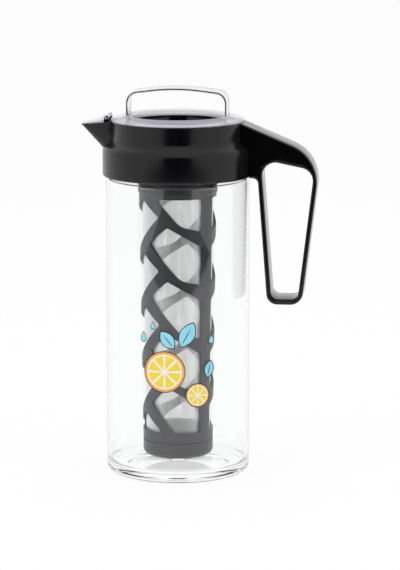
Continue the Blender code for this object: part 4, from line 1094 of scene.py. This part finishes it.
    def cap(self) -> None:
        """The cup-shaped screw cap with its grooved spigot."""
        rim = self.foot_z - SEAT_GAP
        spigot = self.radius(self.ledge_z, self.wall) - 1.4
        inner = spigot - 2.6
        low = rim + 1.3
        corners = [
            (0, 11.2, 0), (self.foot, 11.2, 4.0), (self.foot, rim, 0.4), (spigot, rim, 0),
            (spigot, low, 0), (spigot - 1.3, low, 0), (spigot - 1.3, low + 1.6, 0),
            (spigot, low + 1.6, 0), (spigot, rim + 5.3, 0.3), (inner, rim + 5.3, 0.3),
            (inner, 14.2, 3.0), (0, 14.2, 0),
        ]
        cap = Bench.turned("screw_cap", rounded(corners, closed=False), self.steps)
        Bench.smooth(cap, 35.0)
        place(cap, Body.CAP, SLATE, "infuser_cap")

    def build(self) -> None:
        """Build the cage, the sleeve and the cap."""
        self.cage()
        self.sleeve()
        self.cap()


@dataclass
class GlassPrint:
    """A generic fruit print on the front of the glass, in thin layers of ink."""

    radius: float = 50.0
    layer: float = 0.03
    strip: float = 2.0
    inks: tuple = (INK_BLACK, INK_YELLOW, INK_ORANGE, INK_BLUE, INK_WHITE)

    @staticmethod
    def disc(x: float, z: float, size: float) -> list[Point]:
        """A round outline."""
        turns = [math.tau * step / 48 for step in range(48)]
        return [(x + size * math.cos(turn), z + size * math.sin(turn)) for turn in turns]

    @staticmethod
    def leaf(x: float, z: float, length: float, width: float, lean: float) -> list[Point]:
        """A pointed leaf outline from its foot, leaning by an angle from upright."""
        sides = [(width * math.sin(math.pi * step / 16) ** 0.8, length * step / 16)
                 for step in range(17)]
        outline = sides + [(-across, along) for across, along in sides[-2:0:-1]]
        turn = math.radians(lean)
        return [(x + across * math.cos(turn) + along * math.sin(turn),
                 z - across * math.sin(turn) + along * math.cos(turn))
                for across, along in outline]

    @staticmethod
    def drop(x: float, z: float, size: float) -> list[Point]:
        """A drop outline with its point up."""
        outline = []
        for step in range(40):
            angle = math.tau * step / 40
            outline.append((x + size * math.sin(angle) * math.sin(angle / 2),
                            z + size * 1.25 * math.cos(angle)))
        return outline

    @staticmethod
    def segment(x: float, z: float, inner: float, outer: float, start: float,
                end: float) -> list[Point]:
        """One rounded segment of a fruit slice, between two angles in degrees."""
        corners = [(inner, (start + end) / 2)]
        corners += [(outer, start + (end - start) * step / 6) for step in range(7)]
        return [(x + reach * math.cos(math.radians(angle)),
                 z + reach * math.sin(math.radians(angle))) for reach, angle in corners]

    def shapes(self) -> list[tuple[list[Point], int, int]]:
        """Every ink shape of the print: its outline, its ink and its layer.

        The lowest layer repeats the colours, as it is seen through the glass from behind.
        """
        made = []
        for x, z, size in ((-9.0, 79.0, 14.5), (14.0, 62.5, 8.5)):
            made.append((self.disc(x, z, size - 0.6), 2, 0))
            made.append((self.disc(x, z, size), 0, 1))
            made.append((self.disc(x, z, size - 0.6), 2, 2))
            made.append((self.disc(x, z, size * 0.84), 4, 3))
            for number in range(8):
                start = number * 45.0 + 4.0
                outline = self.segment(x, z, size * 0.1, size * 0.77, start, start + 37.0)
                made.append((outline, 1, 4))
        for x, z, length, width, lean in ((2.0, 96.0, 20.0, 5.6, 28.0),
                                          (-2.0, 95.0, 16.0, 4.8, -38.0),
                                          (21.0, 74.0, 13.0, 3.8, 12.0)):
            turn = math.radians(lean)
            inner = self.leaf(x + 0.9 * math.sin(turn), z + 0.9 * math.cos(turn),
                              length - 1.8, width - 0.6, lean)
            made.append((inner, 3, 0))
            made.append((self.leaf(x, z, length, width, lean), 0, 1))
            made.append((inner, 3, 2))
            made.append((self.leaf(x + 1.6 * math.sin(turn), z + 1.6 * math.cos(turn),
                                   length * 0.7, 0.3, lean), 0, 3))
        for x, z, size in ((-24.0, 103.0, 3.0), (-17.0, 111.0, 2.3), (24.0, 101.0, 2.6)):
            made.append((self.drop(x, z - 0.05, size - 0.5), 3, 0))
            made.append((self.drop(x, z, size), 0, 1))
            made.append((self.drop(x, z - 0.05, size - 0.5), 3, 2))
        return made

    def build(self) -> None:
        """Lay the shapes flat, cut them into narrow strips, wrap them on the glass and place."""
        Bench.clear()
        shapes = self.shapes()
        bpy.ops.mesh.primitive_circle_add(vertices=len(shapes[0][0]), fill_type="NGON")
        sheet = Bench.named("fruit_print")
        for ink in self.inks:
            sheet.data.materials.append(ink.material())
        for number, (outline, ink, layer) in enumerate(shapes):
            if number:
                bpy.ops.mesh.select_all(action="DESELECT")
                bpy.ops.mesh.primitive_circle_add(vertices=len(outline), fill_type="NGON")
            mesh = bmesh.from_edit_mesh(sheet.data)
            lift = 0.03 + layer * self.layer * 1.4
            chosen = [vertex for vertex in mesh.verts if vertex.select]
            for vertex, (x, z) in zip(chosen, outline):
                vertex.co = (x * MM, -lift * MM, z * MM)
            for face in mesh.faces:
                if face.select:
                    face.material_index = ink
                    face.normal_update()
                    if face.normal.y > 0:
                        face.normal_flip()
            bmesh.update_edit_mesh(sheet.data)
        reach = 34.0
        for number in range(int(2 * reach / self.strip) + 1):
            bpy.ops.mesh.select_all(action="SELECT")
            bpy.ops.mesh.bisect(plane_co=((number * self.strip - reach + 0.13) * MM, 0, 0),
                                plane_no=(1, 0, 0))
        bpy.ops.object.mode_set(mode="OBJECT")
        for vertex in sheet.data.vertices:
            angle = vertex.co.x / (self.radius * MM) + math.radians(6.0)
            distance = self.radius * MM - vertex.co.y
            vertex.co = (AXIS + distance * math.sin(angle), -distance * math.cos(angle),
                         vertex.co.z)
        Bench.pick(sheet)
        bpy.ops.object.modifier_add(type="SOLIDIFY")
        sheet.modifiers[-1].thickness = self.layer * MM
        sheet.modifiers[-1].offset = 1.0
        bpy.ops.object.modifier_apply(modifier=sheet.modifiers[-1].name)
        place(sheet, Body.JUG, INK_BLACK)


def dress_seals() -> None:
    """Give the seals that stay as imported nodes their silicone."""
    for node in ("neck_gasket", "lid_seal", "cap_seal"):
        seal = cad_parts[node]
        seal.data.materials.clear()
        seal.data.materials.append(SILICONE.material())
        LOG.info("%s: dressed in silicone", node)


@dataclass
class Studio:
    """The plain pale floor, the soft lights, the dark card behind the camera and the camera."""

    distance: float = 1.8
    height: float = 0.453
    pitch: float = 10.15
    turn: float = 6.0
    focal: float = 2614.0
    long_side: float = 570.0
    axis_offset: float = -22.4
    card_half: float = 1.0
    card_near: float = 0.78
    card_far: float = 2.4
    card_top: float = 1.5

    def background_seen(self, sheet: Sheet) -> bpy.types.NodeSocket:
        """1 for rays that see the background: from the camera, a gloss or through glass."""
        path = sheet.add("ShaderNodeLightPath")
        seen = sheet.math("MAXIMUM", path.outputs["Is Camera Ray"], path.outputs["Is Glossy Ray"])
        return sheet.math("MAXIMUM", seen, path.outputs["Is Transmission Ray"])

    def floor(self) -> None:
        """A wide pale floor that looks white and keeps the object's shadow."""
        Bench.clear()
        bpy.ops.mesh.primitive_plane_add(size=12.0, location=(0, 0, 0))
        floor = bpy.context.object
        floor.name = "floor"
        material, sheet, shader = plain_material("pale_floor", (0.86, 0.86, 0.86),
                                                 {"Roughness": 0.8})
        glow = sheet.add("ShaderNodeEmission", {"Strength": 1.0})
        share = sheet.math("MULTIPLY", self.background_seen(sheet), 0.94)
        mix = sheet.add("ShaderNodeMixShader", {0: share, 1: shader.outputs[0],
                                                2: glow.outputs[0]})
        end = material.node_tree.nodes["Material Output"]
        sheet.tree.links.new(mix.outputs[0], end.inputs["Surface"])
        floor.data.materials.append(material)

    def world(self) -> None:
        """Even pale light, and white where the background is seen."""
        world = bpy.data.worlds.new("studio")
        world.use_nodes = True
        bpy.context.scene.world = world
        sheet = Sheet(world.node_tree)
        background = world.node_tree.nodes["Background"]
        background.inputs["Color"].default_value = (1.0, 1.0, 1.0, 1.0)
        lit = sheet.add("ShaderNodeMix", {0: self.background_seen(sheet), 2: 0.62, 3: 1.0},
                        data_type="FLOAT")
        sheet.tree.links.new(lit.outputs[0], background.inputs["Strength"])

    def lamp(self, name: str, place_at: Colour, size: float, watts: float) -> None:
        """A soft square lamp aimed at the middle of the jug."""
        light = bpy.data.lights.new(name, "AREA")
        light.size = size
        light.energy = watts
        lamp = bpy.data.objects.new(name, light)
        lamp.location = place_at
        aim = Vector((AXIS, 0, 0.13)) - Vector(place_at)
        lamp.rotation_euler = aim.to_track_quat("-Z", "Y").to_euler()
        lamp.visible_glossy = False
        bpy.context.scene.collection.objects.link(lamp)

    def card(self) -> None:
        """A dark card on the floor and up behind the camera, seen only in glossy surfaces."""
        turn = Matrix.Rotation(math.radians(self.turn), 3, "Z")
        rows = ((self.card_near, 0.002), (self.card_far, 0.002), (self.card_far, self.card_top))
        rings = []
        for reach, height in rows:
            ring = [(-1, 0.0), (1, 0.0), (1, 0.001), (-1, 0.001)]
            rings.append([turn @ Vector((side * self.card_half, -reach + rise, height + rise))
                          + Vector((AXIS, 0, 0)) for side, rise in ring])
        card = Bench.skinned("dark_card", rings)
        card.data.materials.append(plain_material("dark_card", (0.004, 0.004, 0.004),
                                                  {"Specular IOR Level": 0.0})[0])
        card.visible_camera = card.visible_diffuse = card.visible_shadow = False

    def camera(self) -> None:
        """The camera at the photograph's angle."""
        data = bpy.data.cameras.new("camera")
        data.sensor_width = 36.0
        data.lens = self.focal * 36.0 / self.long_side
        data.clip_end = 50.0
        camera = bpy.data.objects.new("camera", data)
        bpy.context.scene.collection.objects.link(camera)
        turn = math.radians(self.turn)
        aside = -self.axis_offset * self.distance / self.focal
        place_at = Matrix.Rotation(turn, 3, "Z") @ Vector((aside, -self.distance, self.height))
        camera.location = place_at + Vector((AXIS, 0, 0))
        camera.rotation_euler = (math.radians(90.0 - self.pitch), 0, turn)
        bpy.context.scene.camera = camera

    def build(self) -> None:
        """Set the floor, the world, the lamps, the card, the camera and the view."""
        self.floor()
        self.world()
        self.lamp("left_softbox", (-1.5, -1.2, 1.1), 1.0, 14.0)
        self.lamp("right_softbox", (1.6, -0.9, 1.0), 1.0, 10.0)
        self.lamp("top_softbox", (0.0, 0.3, 1.9), 1.2, 12.0)
        self.card()
        self.camera()
        bpy.context.scene.view_settings.view_transform = "Standard"
        LOG.info("studio: floor, world, lamps, card and camera")


def main() -> None:
    """Build every sub-assembly in order."""
    logging.basicConfig(level=logging.INFO, format="%(name)s %(message)s")
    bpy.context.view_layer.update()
    collar = PouringCollar()
    Studio().build()
    GlassJug().build()
    collar.build()
    SpoutFlap(collar).build()
    CarryHandle(collar).build()
    Lid().build()
    Infuser().build()
    GlassPrint().build()
    dress_seals()


if __name__ == "__main__":
    main()
